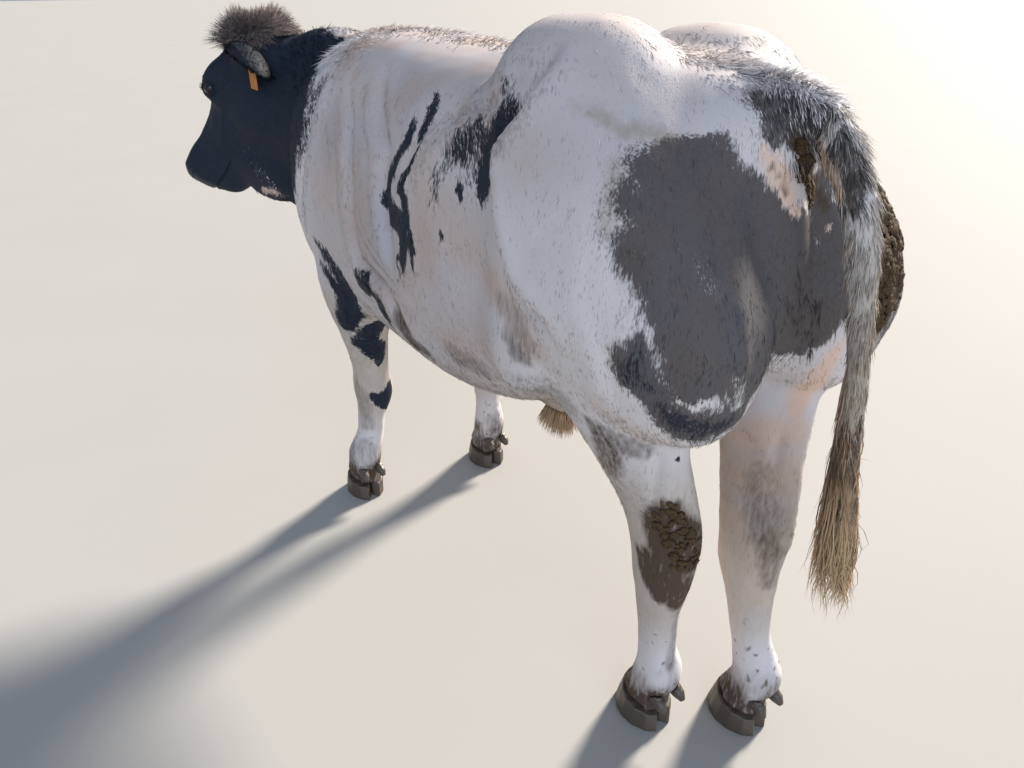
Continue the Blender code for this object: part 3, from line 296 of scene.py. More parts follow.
        (.32, .019, [(.286, .18, .79, .016)]),
        (.32, .019, [(.335, .331, .842, .014), (.322, .384, .85, .014), (.313, .42, .866, .013)]),
        # behind the elbow: painted shade in the fold of the armpit, coloured as mud
        (.8, .016, [(.331, -.066, .829, .013), (.321, -.063, .791, .02), (.305, -.062, .755, .023),
            (.306, -.001, .754, .018)]),
        # under the tail
        (.95, .007, [(.023, .607, 1.246, .014), (.008, .615, 1.229, .014), (-.012, .615, 1.204, .013),
            (-.066, .595, 1.167, .011), (-.092, .601, 1.133, .011)]),
        (.75, .006, [(.058, .596, 1.201, .002), (.032, .607, 1.174, .004), (.014, .619, 1.15, .004)]),
        # left hock
        (1, .014, [(.165, .576, .621, .029), (.143, .59, .571, .045), (.134, .598, .527, .046)]),
        (1, .016, [(.165, .521, .499, .017), (.16, .557, .483, .046), (.145, .579, .448, .052),
            (.117, .585, .397, .02)]),
        (.5, .017, [(.107, .583, .379, .013), (.083, .564, .27, .013), (.09, .569, .208, .016)]),
        # right hock
        (.6, .02, [(-.014, .659, .537, .017), (-.024, .677, .506, .023), (-.032, .673, .434, .016)]),
        # right thigh
        (1, .018, [(-.202, .637, 1.114, .023), (-.195, .665, 1.072, .027), (-.184, .687, 1.013, .026),
            (-.186, .694, .944, .023)]),
        # foreleg
        (.45, .018, [(.221, -.573, .4, .017), (.216, -.56, .358, .026), (.209, -.558, .272, .021)]),
        (.45, .018, [(.221, -.554, .197, .03), (.212, -.55, .146, .03)]),
        (.5, .018, [(.172, -.544, .104, .021)]),
        # hock, caked hair on the right thigh, then belly and feet
        (1, .018, [(.165, .56, .6, .03), (.15, .575, .54, .036), (.145, .57, .49, .034),
            (.135, .58, .43, .02)]),
        (1, .03, [(-.165, .63, 1.2, .02), (-.21, .64, 1.12, .035), (-.2, .67, 1.04, .035),
            (-.18, .69, .97, .03)]),
        (.5, .04, [(-.04, .61, .64, .02), (0, .65, .56, .03)]),
        (.5, .04, [(.3, .13, .78, .02), (.29, .23, .74, .03), (.289, .42, .82, .03)]),
    ],
    "smear": [
        # rump
        (.6, .013, [(.277, .421, 1.29, .003), (.265, .449, 1.281, .008), (.245, .479, 1.271, .009),
            (.219, .502, 1.265, .009), (.187, .522, 1.256, .006)]),
        (.45, .021, [(.274, .51, 1.223, .007), (.294, .523, 1.188, .011), (.312, .535, 1.149, .011)]),
        (.5, .021, [(.302, .596, 1.084, .011), (.304, .576, 1.111, .014)]),
        # flank
        (.25, .035, [(.331, .302, 1.164, .005), (.335, .301, 1.126, .011), (.344, .324, 1.085, .008)]),
    ],
    "warm": [
        # throat
        (1, .043, [(.26, -.988, .886, .022), (.237, -.954, .88, .018)]),
        # crest of the neck
        (.8, .029, [(.09, -.753, 1.305, .023)]),
        (.8, .029, [(.157, -.532, 1.306, .027), (.142, -.456, 1.314, .026), (.137, -.361, 1.316, .02)]),
        (.64, .04, [(.206, -.5, 1.272, .021), (.209, -.411, 1.271, .03)]),
        (.64, .04, [(.238, -.271, 1.241, .034), (.276, -.181, 1.192, .033)]),
        # shoulder
        (.44, .081, [(.267, -.389, 1.186, .03), (.291, -.434, 1.095, .032), (.304, -.406, 1.011, .038)]),
        (.44, .081, [(.315, -.291, .947, .036)]),
        (.4, .054, [(.296, -.282, 1.12, .02), (.314, -.267, 1.019, .02), (.322, -.223, .919, .02)]),
        # ribs
        (.6, .052, [(.241, -.153, 1.246, .033), (.208, -.083, 1.279, .032)]),
        (.6, .052, [(.259, .126, 1.279, .033), (.295, .143, 1.239, .024)]),
        (.56, .045, [(.311, .057, 1.161, .017), (.327, .073, 1.11, .021), (.338, .069, 1.038, .022),
            (.34, .092, .949, .027)]),
        (.48, .058, [(.322, .152, 1.091, .029), (.322, .185, 1.028, .038)]),
        (.48, .058, [(.335, .124, .918, .03)]),
        (.4, .052, [(.225, -.268, 1.256, .024)]),
        (.4, .052, [(.276, -.162, 1.195, .023), (.315, -.168, 1.08, .023), (.324, -.189, .973, .024)]),
        # flank
        (.8, .034, [(.324, .267, .998, .02), (.341, .327, .985, .027), (.342, .367, .955, .027),
            (.336, .402, .923, .02)]),
        # belly
        (.7, .04, [(.332, .076, .839, .023), (.313, .154, .831, .022)]),
        (.7, .04, [(.331, .281, .852, .021)]),
        # haunch
        (.45, .036, [(.233, .42, 1.333, .03), (.192, .459, 1.315, .03), (.137, .483, 1.306, .021)]),
        # gaskin
        (.5, .032, [(.299, .531, .86, .018), (.271, .56, .829, .027), (.253, .597, .822, .022)]),
        # tail
        (1, .013, [(0, .775, 1.004, .009), (.005, .783, .945, .011), (.012, .788, .9, .011)]),
        # along the back, under the belly and down the tail
        (.6, .09, [(0, -.7, 1.33, .05), (0, -.3, 1.335, .05), (0, .1, 1.335, .04)]),
        (.8, .07, [(0, .04, .59, .08), (0, .3, .65, .08)]),
        (.6, .07, [(-.2, .64, 1.0, .05), (-.22, .62, .9, .05)]),
        (.5, .08, [(.31, -.28, .93, .03), (.32, -.15, .87, .04), (.33, .2, .87, .04)]),
        (.8, .03, [(-.02, .7, 1.2, .02), (-.02, .76, 1, .02), (0, .78, .82, .03)]),
    ],
    "pink": [
        # bare-looking patches beside the tail: pink skin, partly painted sunlight
        (1, .006, [(.065, .594, 1.224, .01), (.052, .599, 1.204, .015), (.036, .605, 1.18, .016),
            (.019, .616, 1.156, .013), (.002, .624, 1.137, .007)]),
        (1, .006, [(.038, .644, 1.253, .007), (.035, .655, 1.236, .011), (.032, .667, 1.216, .013),
            (.031, .683, 1.194, .011), (.032, .696, 1.178, .005)]),
        (.9, .003, [(-.087, .601, 1.13, .003), (-.097, .615, 1.103, .003)]),
        (.9, .003, [(.02, .703, 1.115, .003), (.029, .726, 1.097, .002)]),
        # inside the right leg, pink with painted sunlight
        (1, .016, [(-.096, .67, .902, .008), (-.091, .658, .861, .017), (-.103, .634, .817, .02),
            (-.096, .613, .775, .015)]),
        (.8, .022, [(-.04, .541, .686, .012), (-.053, .591, .724, .023), (-.092, .634, .735, .018)]),
        (.6, .029, [(-.022, .553, .633, .015), (-.026, .616, .644, .031), (-.063, .648, .669, .023)]),
        (.45, .03, [(.001, .597, .554, .015), (-.002, .651, .495, .023), (-.026, .657, .387, .019)]),
        # belly and brisket
        (.6, .07, [(0, .44, .74, .08), (0, .3, .64, .06)]),
        (.5, .06, [(0, -.45, .64, .1)]),
    ],
    "fleck": [
        # cheek
        (.55, .034, [(.33, -1.021, 1.067, .014), (.309, -1.007, 1.017, .027), (.284, -.967, .971, .031),
            (.26, -.937, .928, .027)]),
        (.8, .022, [(.307, -.997, .98, .017), (.283, -.967, .942, .021), (.254, -.949, .901, .021)]),
        (1, .016, [(.275, -.953, .949, .009), (.256, -.939, .915, .012)]),
        # throat
        (.9, .019, [(.247, -.956, .887, .022)]),
        # brow
        (.4, .021, [(.344, -1.016, 1.246, .011), (.362, -1.01, 1.213, .017),
            (.373, -1.018, 1.172, .017)]),
        (.3, .033, [(.323, -.976, 1.223, .02), (.338, -1.004, 1.145, .026)]),
        # neck
        (.3, .042, [(.187, -.795, 1.23, .025), (.218, -.812, 1.156, .025), (.235, -.849, 1.05, .026)]),
    ],
    "pale": [
        # throat
        (.62, .023, [(.26, -.988, .886, .012), (.244, -.958, .884, .009)]),
        # behind the jaw: painted light, a pale streak along the sunlit lower edge of the jaw
        (.3, .016, [(.285, -.967, .965, .003), (.271, -.95, .941, .006), (.256, -.939, .915, .009),
            (.229, -.953, .876, .012)]),
    ],
}
# where the dark neck ends on either side: height, then place along the body
neckLine = [(.60, -.80), (.86, -.745), (.97, -.660), (1.09, -.590), (1.18, -.560), (1.25, -.585),
            (1.285, -.670), (1.31, -.780), (1.335, -.86)]
# where dung has dried: points, reach, share of the clods, strength of the stain
clodPaths = [
    ([(-.165, .63, 1.20), (-.21, .64, 1.12), (-.20, .67, 1.04), (-.18, .69, .97)], .050, 1.0, .85),
    ([(.017, .61, 1.243), (.010, .615, 1.210), (-.046, .603, 1.153)], .016, 0.7, .45),
    ([(.165, .576, .621), (.143, .590, .571), (.134, .598, .527)], .040, 0.18, .8),
]
markNames = ("dark", "grey", "light", "mudAndShade", "smear", "warm", "pink", "fleck", "pale")


def markFields(row):
    co = toBull(row)
    head = toHead(row)
    wander = softNoises(co, (.04, .04, .09), (1, 2, 3)) * 0.006
    wander += softNoises(co, (.008, .008, .030), (4, 5, 6)) * (.003, .003, .011)
    moved = co + wander
    fields = {}
    for name in markNames:
        value = np.zeros(len(co))
        for strength, soft, path in markings[name]:
            mark = strength * smoothStep(soft, -soft * 0.4, pathDistance(moved, path)[0])
            value = np.maximum(value, mark) + 0.35 * np.minimum(value, mark) * (1 - np.maximum(value, mark))
        fields[name] = value

    def deepen(name, value):
        fields[name] = np.maximum(fields[name], value)

    levels, places = zip(*neckLine)
    edge = np.interp(co[:, 2], levels, places) + 0.018 * softNoise(co, (.03, .03, .10), 8)
    edge += 0.016 * softNoise(co, (.009, .009, .05), 10)
    deepen("dark", smoothStep(0.045, -0.035, moved[:, 1] - edge))
    # light hairs mixed into the dark head, browner hair round the poll, the pale patch under the throat
    streak = smoothStep(-0.2, 0.5, softNoise(moved, (.006, .006, .035), 14))
    poll = smoothStep(0.135, 0.075, np.hypot(head[:, 0], head[:, 1] - 0.02))
    poll *= smoothStep(-.085, -.02, head[:, 2]) * (head[:, 1] < 0.14)
    throat = smoothStep(0.050, 0.0, np.linalg.norm(head - np.array((0.0, 0.0, -0.235)), axis=1) - 0.045)
    fields["fleck"] *= 0.3 + 0.7 * streak
    deepen("fleck", 0.45 * poll * streak)
    fields["dark"] *= 1 - np.maximum(0.85 * throat, fields.pop("pale"))
    deepen("warm", np.maximum(throat, 0.9 * poll))
    # painted shade: the ribs and haunch are painted duller than the thigh, the ribs browner
    ribs = window(co[:, 1], (.34, .20), (-.62, -.50)) * window(co[:, 2], (.55, .80))
    ribs *= 0.58 * (0.75 + 0.35 * softNoise(co, (.09, .09, .14), 15))
    haunch = window(co[:, 1], (.20, .30), (.62, .48)) * window(co[:, 2], (1.12, 1.24))
    fields["paintedShade"] = np.maximum(ribs, 0.42 * haunch)
    # tail: painted shade greys its left side, away from the sun, most near the root; cream to the right
    onTail = smoothStep(0.640, 0.675, co[:, 1]) * smoothStep(0.06, 0.045, np.abs(co[:, 0])) * (co[:, 2] > 0.5)
    edge = 0.020 - 0.018 * smoothStep(1.12, 1.26, co[:, 2])
    shadedTailSide = smoothStep(-0.006, 0.010, co[:, 0] - edge + 0.008 * softNoise(co, (.012, .012, .05), 9))
    shadedTailSide *= 0.15 + 0.70 * smoothStep(1.00, 1.20, co[:, 2])
    fields["dark"] = np.where(onTail > 0.5, np.minimum(fields["dark"], 0.30), fields["dark"])
    fields["grey"] = np.maximum(fields["grey"] * (1 - onTail), 0.95 * onTail * shadedTailSide)
    # dirt rises from the feet and hangs under the belly
    low = smoothStep(0.24, 0.07, co[:, 2] + 0.05 * softNoise(co, .04, 11))
    specks = smoothStep(0.55, 0.8, softNoise(co, .009, 13)) * smoothStep(0.45, 0.20, co[:, 2])
    deepen("mudAndShade", np.maximum(low, 0.8 * specks))
    for path, reach, _, stain in clodPaths:
        deepen("mudAndShade", stain * smoothStep(reach * 1.5, reach * 0.5, lineDistance(moved, path)[0]))
    midLeg = smoothStep(.80, .62, co[:, 2]) * smoothStep(.20, .36, co[:, 2])
    lowTail = onTail * (1 - shadedTailSide) * smoothStep(1.24, 1.05, co[:, 2])
    deepen("smear", np.maximum(0.40 * midLeg, 0.56 * lowTail))
    deepen("warm", 0.40 * midLeg)
    patchy = smoothStep(-0.1, 0.6, softNoise(co, (.04, .04, .09), 12))
    under = window(co[:, 2], (0.72, 0.58)) * window(co[:, 1], (-.40, -.25), (.50, .35))
    deepen("mudAndShade", 0.45 * under * patchy)
    return fields


# skin: the flesh nodes fused into one, then sculpted
skinValues = {
    "voxel": 0.0138, "softenRounds": 5, "coatDepth": 0.0035, "faceDepth": 0.0010,
    "fleshNodes": ["torso", "neck", "head", "foreleg_left", "foreleg_right", "hindleg_left", "hindleg_right",
                   "tail"],
}
eyeValues = {
    "radius": 0.021, "cornea": 0.0013, "iris": 0.0135, "gaze": (0.93, -0.36, 0.10),
    # painted shade: the white of the eye is painted dark brown, as shaded by the lids and lashes
    "white": ((0.012, 0.007, 0.006, 1), (0.050, 0.030, 0.024, 1)), "pupil": (0.003, 0.004, 0.006, 1),
    "brown": ((0.007, 0.004, 0.003, 1), (0.026, 0.013, 0.008, 1)),
}
# the opening between the lids: its middle forward of and above the eye's, half its length and heights, slant
lidValues = {
    "middle": (0.0062, 0.0005), "halfLength": 0.0158, "upper": 0.0124, "lower": 0.0100, "slant": 24,
    "stand": 0.0028, "sink": 0.0095,
}
nostrilValues = {"place": (0.037, -0.462, -0.036), "half": (0.0125, 0.0190), "turn": 38, "depth": 0.014}
lipValues = {
    "groove": 0.0045, "grooveWidth": 0.0024, "swell": 0.0016, "swellAt": 0.0080, "swellWidth": 0.0040,
}
# grooves and folds in bull space: depth, width, how far the side behind stands out, then points
creases = [
    (.011, .012, .015, [(.245, .344, 1.37), (.272, .352, 1.34), (.31, .326, 1.272), (.316, .278, 1.223),
        (.322, .278, 1.178), (.338, .308, 1.112), (.351, .358, 1.047), (.353, .384, 1.021),
        (.353, .44, .997), (.336, .481, .933)]),
    (.006, .012, .007, [(.292, .312, 1.316), (.295, .229, 1.265), (.295, .155, 1.249),
        (.277, .051, 1.224), (.29, .018, 1.202), (.302, .005, 1.179), (.314, -.012, 1.147),
        (.322, -.024, 1.118)]),
    (.005, .011, .004, [(.299, .186, 1.229), (.287, .098, 1.22), (.294, .054, 1.197),
        (.308, .032, 1.168), (.319, .011, 1.133), (.327, -.001, 1.103)]),
    (.004, .007, 0, [(.312, -.312, .995), (.316, -.276, .962), (.321, -.232, .933), (.328, -.166, .909),
        (.335, -.1, .899), (.339, -.059, .89)]),
    (.003, .007, 0, [(.315, -.268, 1.006), (.319, -.237, .971), (.324, -.195, .943),
        (.332, -.127, .921), (.339, -.064, .91)]),
    (.008, .016, -.009, [(.186, -.315, 1.289), (.266, -.219, 1.206), (.302, -.13, 1.145),
        (.322, -.121, 1.071), (.335, -.086, .979), (.339, -.056, .904)]),
    (.005, .010, 0, [(.2, .572, .768), (.196, .569, .729), (.191, .563, .684), (.184, .553, .632)]),
    (.004, .010, 0, [(-.074, .611, .74), (-.053, .622, .691), (-.039, .634, .649), (-.038, .656, .618)]),
    (.0070, .013, -.008, [(.198, -.451, 1.280), (.277, -.333, 1.169), (.305, -.300, 1.060),
        (.315, -.295, .959), (.317, -.270, .878), (.330, -.123, .864), (.327, -.071, .813),
        (.30, -.03, .76)]),
    (.0035, .012, 0, [(.240, -.440, 1.200), (.290, -.380, 1.080), (.300, -.380, .960),
        (.300, -.330, .870)]),
    (.0090, .015, .009, [(.224, -.519, 1.255), (.275, -.529, 1.170), (.296, -.550, 1.077),
        (.306, -.577, .977), (.28, -.62, .88)]),
    (.0040, .012, 0, [(.230, -.680, 1.200), (.262, -.700, 1.080), (.262, -.730, .960),
        (.235, -.760, .860)]),
    (.0060, .018, -.004, [(.150, .560, 1.200), (.200, .640, 1.090), (.215, .690, .980),
        (.200, .690, .880)]),
    (.0045, .014, -.003, [(.270, .500, 1.180), (.320, .520, 1.060), (.318, .560, .960),
        (.280, .560, .860)]),
]


def addObject(name, mesh):
    piece = bpy.data.objects.new(name, mesh)
    bpy.context.scene.collection.objects.link(piece)
    return piece


def bakeModifiers(piece):
    graph = bpy.context.evaluated_depsgraph_get()
    baked = bpy.data.meshes.new_from_object(piece.evaluated_get(graph))
    old = piece.data
    piece.modifiers.clear()
    piece.data = baked
    bpy.data.meshes.remove(old)


def meshOf(name, bm):
    mesh = bpy.data.meshes.new(name)
    bm.to_mesh(mesh)
    bm.free()
    return mesh


def shadeSmooth(mesh):
    for polygon in mesh.polygons:
        polygon.use_smooth = True


def fuseNodes(name, nodes, voxel, rounds, balls=()):
    bm = bmesh.new()
    for node in nodes:
        bm.from_mesh(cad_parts[node].data)
    bmesh.ops.remove_doubles(bm, verts=bm.verts, dist=0.00001)
    for centre in balls:
        bmesh.ops.create_icosphere(
            bm, subdivisions=2, radius=eyeValues["radius"] + 0.001, matrix=Matrix.Translation(centre))
    piece = addObject(name, meshOf(name, bm))
    grid = piece.modifiers.new("fuse", "REMESH")
    grid.mode = "VOXEL"
    grid.voxel_size = voxel
    soften = piece.modifiers.new("soften", "SMOOTH")
    soften.factor = 0.5
    soften.iterations = rounds
    bakeModifiers(piece)
    return piece


def getCo(mesh):
    co = np.empty(len(mesh.vertices) * 3)
    mesh.vertices.foreach_get("co", co)
    return co.reshape(-1, 3)


def getNormals(mesh):
    normals = np.empty(len(mesh.vertices) * 3)
    mesh.vertex_normals.foreach_get("vector", normals)
    return normals.reshape(-1, 3)


def setCo(mesh, co):
    mesh.vertices.foreach_set("co", co.astype(np.float32).ravel())
    mesh.update()


def softenVerts(bm, verts, rounds):
    for _ in range(rounds):
        bmesh.ops.smooth_vert(bm, verts=verts, factor=0.5, use_axis_x=True, use_axis_y=True, use_axis_z=True)


def refine(mesh, chosen, rounds):
    bm = bmesh.new()
    bm.from_mesh(mesh)
    bm.verts.ensure_lookup_table()
    picked = [e for e in bm.edges if chosen[e.verts[0].index] and chosen[e.verts[1].index]]
    before = len(bm.verts)
    bmesh.ops.subdivide_edges(bm, edges=picked, cuts=1, use_grid_fill=True)
    bm.verts.ensure_lookup_table()
    near = {v for e in picked if e.is_valid for v in e.verts} | set(bm.verts[before:])
    softenVerts(bm, list(near), rounds)
    bmesh.ops.triangulate(bm, faces=[f for f in bm.faces if len(f.verts) > 4])
    bm.to_mesh(mesh)
    bm.free()


mouthHalf = [(.050, -.300, -.128), (.062, -.330, -.128), (.068, -.385, -.126), (.060, -.432, -.118),
             (.032, -.464, -.110)]
mouthPath = [(-x, y, z) for x, y, z in mouthHalf] + [(0, -.474, -.108)] + mouthHalf[::-1]
lipLine = [(-.480, -.107), (-.464, -.110), (-.432, -.118), (-.385, -.126), (-.330, -.128), (-.290, -.123)]


def lipGap(head):  # height over the line between the lips, and the share of the groove's depth there
    places, levels = zip(*lipLine)
    gap = head[:, 2] - np.interp(head[:, 1], places, levels)
    on = smoothStep(-.300, -.325, head[:, 1]) * (np.abs(head[:, 0]) < .11) * (np.abs(gap) < .04)
    return gap, on


eyeBoxes = {word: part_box("eye_" + word) for word in sides}
eyeCentres = {word: (low + high) / 2 for word, (low, high) in eyeBoxes.items()}
# forms of the face in head space, the same on both sides: height, width, points
faceForms = [
    # temple, brow, cheek bone
    (-.0060, .026, [(.098, -.075, .004), (.104, -.085, -.012)]),
    (.0042, .014, [(.078, -.135, .026), (.090, -.165, .022)]),
    (.0040, .012, [(.112, -.055, -.046), (.108, -.12, -.044), (.100, -.18, -.050)]),
    (.0050, .012, [(.096, -.19, -.054), (.083, -.24, -.070), (.072, -.295, -.085)]),
    # hollows before the cheek and beside the nose
    (-.0050, .022, [(.080, -.25, -.115), (.068, -.32, -.100)]),
    (-.0040, .016, [(.066, -.215, -.010), (.054, -.30, -.018), (.054, -.37, -.020)]),
    # jaw muscle and the groove before it, tear groove, chin, lip
    (.0080, .048, [(.112, -.09, -.120), (.108, -.13, -.160)]),
    (-.0048, .010, [(.094, -.205, -.085), (.090, -.207, -.14), (.080, -.19, -.19)]),
    (-.0030, .006, [(.090, -.178, -.014), (.078, -.220, -.024)]),
    (.0050, .030, [(0, -.415, -.165)]),
    (.0045, .026, [(.064, -.425, -.070)]),
    # throat, rim of the eye's socket, edge of the jaw
    (.0230, .036, [(0, -.365, -.185), (.012, -.350, -.235), (.020, -.335, -.290)]),
    (.0070, .020, [(.088, -.186, -.004), (.096, -.180, -.030)]),
    (.0055, .022, [(.084, -.215, -.010), (.074, -.250, -.016)]),
    (-.0035, .009, [(.100, .010, -.075), (.108, -.030, -.130), (.112, -.040, -.180)]),
]


def nostrilAt(side):
    return np.array(nostrilValues["place"]) * (side, 1, 1)


def refineSkin(mesh):
    co = getCo(mesh)
    bull, head = toBull(co), toHead(co)
    chosen = (head[:, 1] < 0.03) & (np.abs(head[:, 0]) < 0.20) & (head[:, 2] > -0.30)
    chosen |= bull[:, 2] < 0.34
    for _, _, _, path in creases:
        chosen |= lineDistance(bull, path)[0] < 0.021
    refine(mesh, chosen, 2)
    # finer and finer at the lids, nostrils and lips
    for eyeReach, area in ((0.055, "muzzle"), (0.040, "lips"), (0.030, None)):
        co = getCo(mesh)
        head = toHead(co)
        chosen = np.zeros(len(co), bool)
        if area == "muzzle":
            chosen |= (head[:, 1] < -0.29) & (np.abs(head[:, 0]) < 0.15) & (np.abs(head[:, 2]) < 0.25)
        elif area == "lips":
            chosen |= lineDistance(head, mouthPath)[0] < 0.016
            for side in sides.values():
                chosen |= np.linalg.norm(head - nostrilAt(side), axis=1) < 0.030
        for centre in eyeCentres.values():
            chosen |= np.linalg.norm(co - np.array(centre), axis=1) < eyeReach
        refine(mesh, chosen, 1)
    # the corners of the mouth close softly
    head = toHead(getCo(mesh))
    corner = np.linalg.norm(np.abs(head) - (.062, .322, .128), axis=1)
    bm = bmesh.new()
    bm.from_mesh(mesh)
    softenVerts(bm, [v for v, far in zip(bm.verts, corner) if far < 0.026], 30)
    bm.to_mesh(mesh)
    bm.free()


def buildSkin():
    skin = fuseNodes("skin", skinValues["fleshNodes"], skinValues["voxel"], skinValues["softenRounds"],
                     eyeCentres.values())
    mesh = skin.data
    refineSkin(mesh)
    co = getCo(mesh)
    normals = getNormals(mesh)
    bull, head = toBull(co), toHead(co)
    onFace = window(head[:, 1], (0.05, -0.05)) * window(head[:, 2], (-.32, -.25)) * (np.abs(head[:, 0]) < 0.2)
    lowLeg = smoothStep(0.45, 0.25, bull[:, 2])
    depth = skinValues["coatDepth"] * (1 - np.maximum(onFace, 0.6 * lowLeg))
    depth += skinValues["faceDepth"] * onFace
    moved = -depth
    for mirror in (1, -1):  # the right side has the same folds
        for deep, wide, stand, path in creases:
            if mirror < 0 and path[0][0] < 0:
                continue
            d, share = lineDistance(bull * (mirror, 1, 1), path)
            fade = np.clip(np.minimum(share, 1 - share) * 6, 0, 1)
            moved -= deep * fade * bell(d, 0, wide)
            moved += deep * 0.35 * fade * bell(d, 2.0 * wide, wide)
            if stand:  # the part behind the fold bulges over the part before it
                places = np.array(path)
                order = np.argsort(places[:, 2])
                edge = np.interp(bull[:, 2], places[order, 2], places[order, 1])
                behind = np.tanh((bull[:, 1] - edge) / 0.012)
                moved += stand * fade * behind * bell(d, 0, 0.055)
    # slack skin folds on the neck and small muscle relief on the quarters
    neck = smoothStep(-.60, -.70, bull[:, 1]) * smoothStep(0.02, 0.10, head[:, 1]) * (bull[:, 2] > .7)
    ripple = softNoise(bull + 0.02 * softNoise(bull, .09, 20)[:, None], (.035, .035, .30), 21)
    moved += 0.0030 * neck * ripple
    quarter = smoothStep(.30, .45, bull[:, 1]) * smoothStep(.80, .92, bull[:, 2])
    moved += 0.0016 * quarter * softNoise(bull, (.030, .030, .16), 22)
    moved += 0.0012 * softNoise(bull, .045, 23)
    setCo(mesh, co + normals * moved[:, None])
    sculptFace(mesh)
    shadeSmooth(mesh)
    return skin


def sculptLids(co, centre, side):
    away = co - centre
    head = away @ headAxes
    distance = np.linalg.norm(away, axis=1)
    slant = math.radians(lidValues["slant"])
    forward, above = lidValues["middle"]
    u = -head[:, 1] * math.cos(slant) + head[:, 2] * math.sin(slant) - forward
    v = head[:, 2] * math.cos(slant) + head[:, 1] * math.sin(slant) - above
    upper = v > 0
    # almond: the front corner is drawn out, the upper lid is the more arched
    tall = np.where(upper, lidValues["upper"], lidValues["lower"]) * (1 - 0.30 * smoothStep(0.006, 0.020, u))
    oval = np.sqrt((u / lidValues["halfLength"]) ** 2 + (v / tall) ** 2)
    near = (head[:, 0] * side > 0.002) * (distance < 0.075)
    direction = away / np.maximum(distance, 1e-6)[:, None]
    lid = eyeValues["radius"] + lidValues["stand"] + 0.0020 * bell(oval, 1.12, 0.14) * np.where(upper, 1, 0.7)
    co = blend(co, centre + direction * lid[:, None], smoothStep(2.6, 1.3, oval) * near)
    fold = bell(oval, 1.62, 0.10) * upper + 0.8 * bell(oval, 1.75, 0.10) * (v < 0)
    fold += 0.6 * bell(oval, 2.15, 0.12)
    brow = bell(oval, 2.6, 0.40) * upper
    inside = smoothStep(1.03, 0.92, oval)
    return co + direction * ((0.0030 * brow - 0.0026 * fold - lidValues["sink"] * inside) * near)[:, None]


def sculptFace(mesh):
    co = getCo(mesh)
    normals = getNormals(mesh)
    for word, side in sides.items():
        co = sculptLids(co, np.array(eyeCentres[word]), side)
    # lips, nostrils and the lines of the nose
    head = toHead(co)
    gap, on = lipGap(head)
    moved = on * lipValues["swell"] * bell(np.abs(gap), lipValues["swellAt"], lipValues["swellWidth"])
    moved -= on * lipValues["groove"] * bell(gap, 0, lipValues["grooveWidth"])
    mirrored = head.copy()
    mirrored[:, 0] = np.abs(head[:, 0])
    for height, wide, path in faceForms:
        moved += height * bell(lineDistance(mirrored, path)[0], 0, wide)
    for side in sides.values():
        local = head - nostrilAt(side)
        turn = math.radians(nostrilValues["turn"] * side)
        u = local[:, 0] * math.cos(turn) + local[:, 2] * math.sin(turn)
        v = -local[:, 0] * math.sin(turn) + local[:, 2] * math.cos(turn)
        halfWide, halfTall = nostrilValues["half"]
        oval = np.sqrt((u / halfWide) ** 2 + (v / halfTall) ** 2 + (local[:, 1] / 0.045) ** 2)
        moved += -nostrilValues["depth"] * smoothStep(1.1, 0.3, oval) + 0.0026 * bell(oval, 1.45, 0.25)
    # the bridge dips under a domed forehead and the end of the nose stands up
    middle = bell(head[:, 0], 0, 0.075) * (head[:, 2] > -0.05)
    for height, level, wide in ((0.0055, -0.105, 0.055), (-0.0080, -0.245, 0.060), (0.0070, -0.405, 0.040)):
        moved += middle * height * bell(head[:, 1], level, wide)
    muzzle = smoothStep(-.395, -.425, head[:, 1])
    moved += 0.0006 * muzzle * softNoise(head, .006, 30)
    wrinkles = window(head[:, 1], (-.36, -.40), (-.44, -.41)) * (head[:, 2] > -.06)
    moved -= 0.0011 * wrinkles * np.abs(softNoise(head, (.05, .009, .05), 31))
    under = smoothStep(-.02, -.08, head[:, 1]) * smoothStep(-.20, -.24, head[:, 2])
    moved -= 0.0020 * under * np.abs(softNoise(head, (.016, .08, .08), 32))
    setCo(mesh, co + normals * moved[:, None])


skin = buildSkin()
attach(skin, "root")
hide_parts(*skinValues["fleshNodes"])


def putFields(mesh, fields):
    for name, value in fields.items():
        layer = mesh.attributes.new(name, "FLOAT", "POINT")
        layer.data.foreach_set("value", value.astype(np.float32))


putFields(skin.data, markFields(getCo(skin.data)))
skinHead = toHead(getCo(skin.data))
putFields(skin.data, {"pad": window(skinHead[:, 1], (-.418, -.436)) * window(skinHead[:, 2], (-.125, -.105))})
print("skin done")


# shader expressions
def plug(tree, socket, value):
    if isinstance(value, Wire):
        tree.links.new(value.socket, socket)
    else:
        socket.default_value = value


class Wire:
    def __init__(self, tree, socket):
        self.tree = tree
        self.socket = socket

    def maths(self, operation, *others, clamp=False):
        node = self.tree.nodes.new("ShaderNodeMath")
        node.operation = operation
        node.use_clamp = clamp
        for place, value in enumerate((self, *others)):
            plug(self.tree, node.inputs[place], value)
        return Wire(self.tree, node.outputs[0])

    def __add__(self, other):
        return self.maths("ADD", other)

    def __sub__(self, other):
        return self.maths("SUBTRACT", other)

    def __rsub__(self, other):
        return self.maths("MULTIPLY", -1.0).maths("ADD", other)

    def __mul__(self, other):
        return self.maths("MULTIPLY", other)

    __radd__ = __add__
    __rmul__ = __mul__

    def held(self):  # between 0 and 1
        return self.maths("ADD", 0.0, clamp=True)


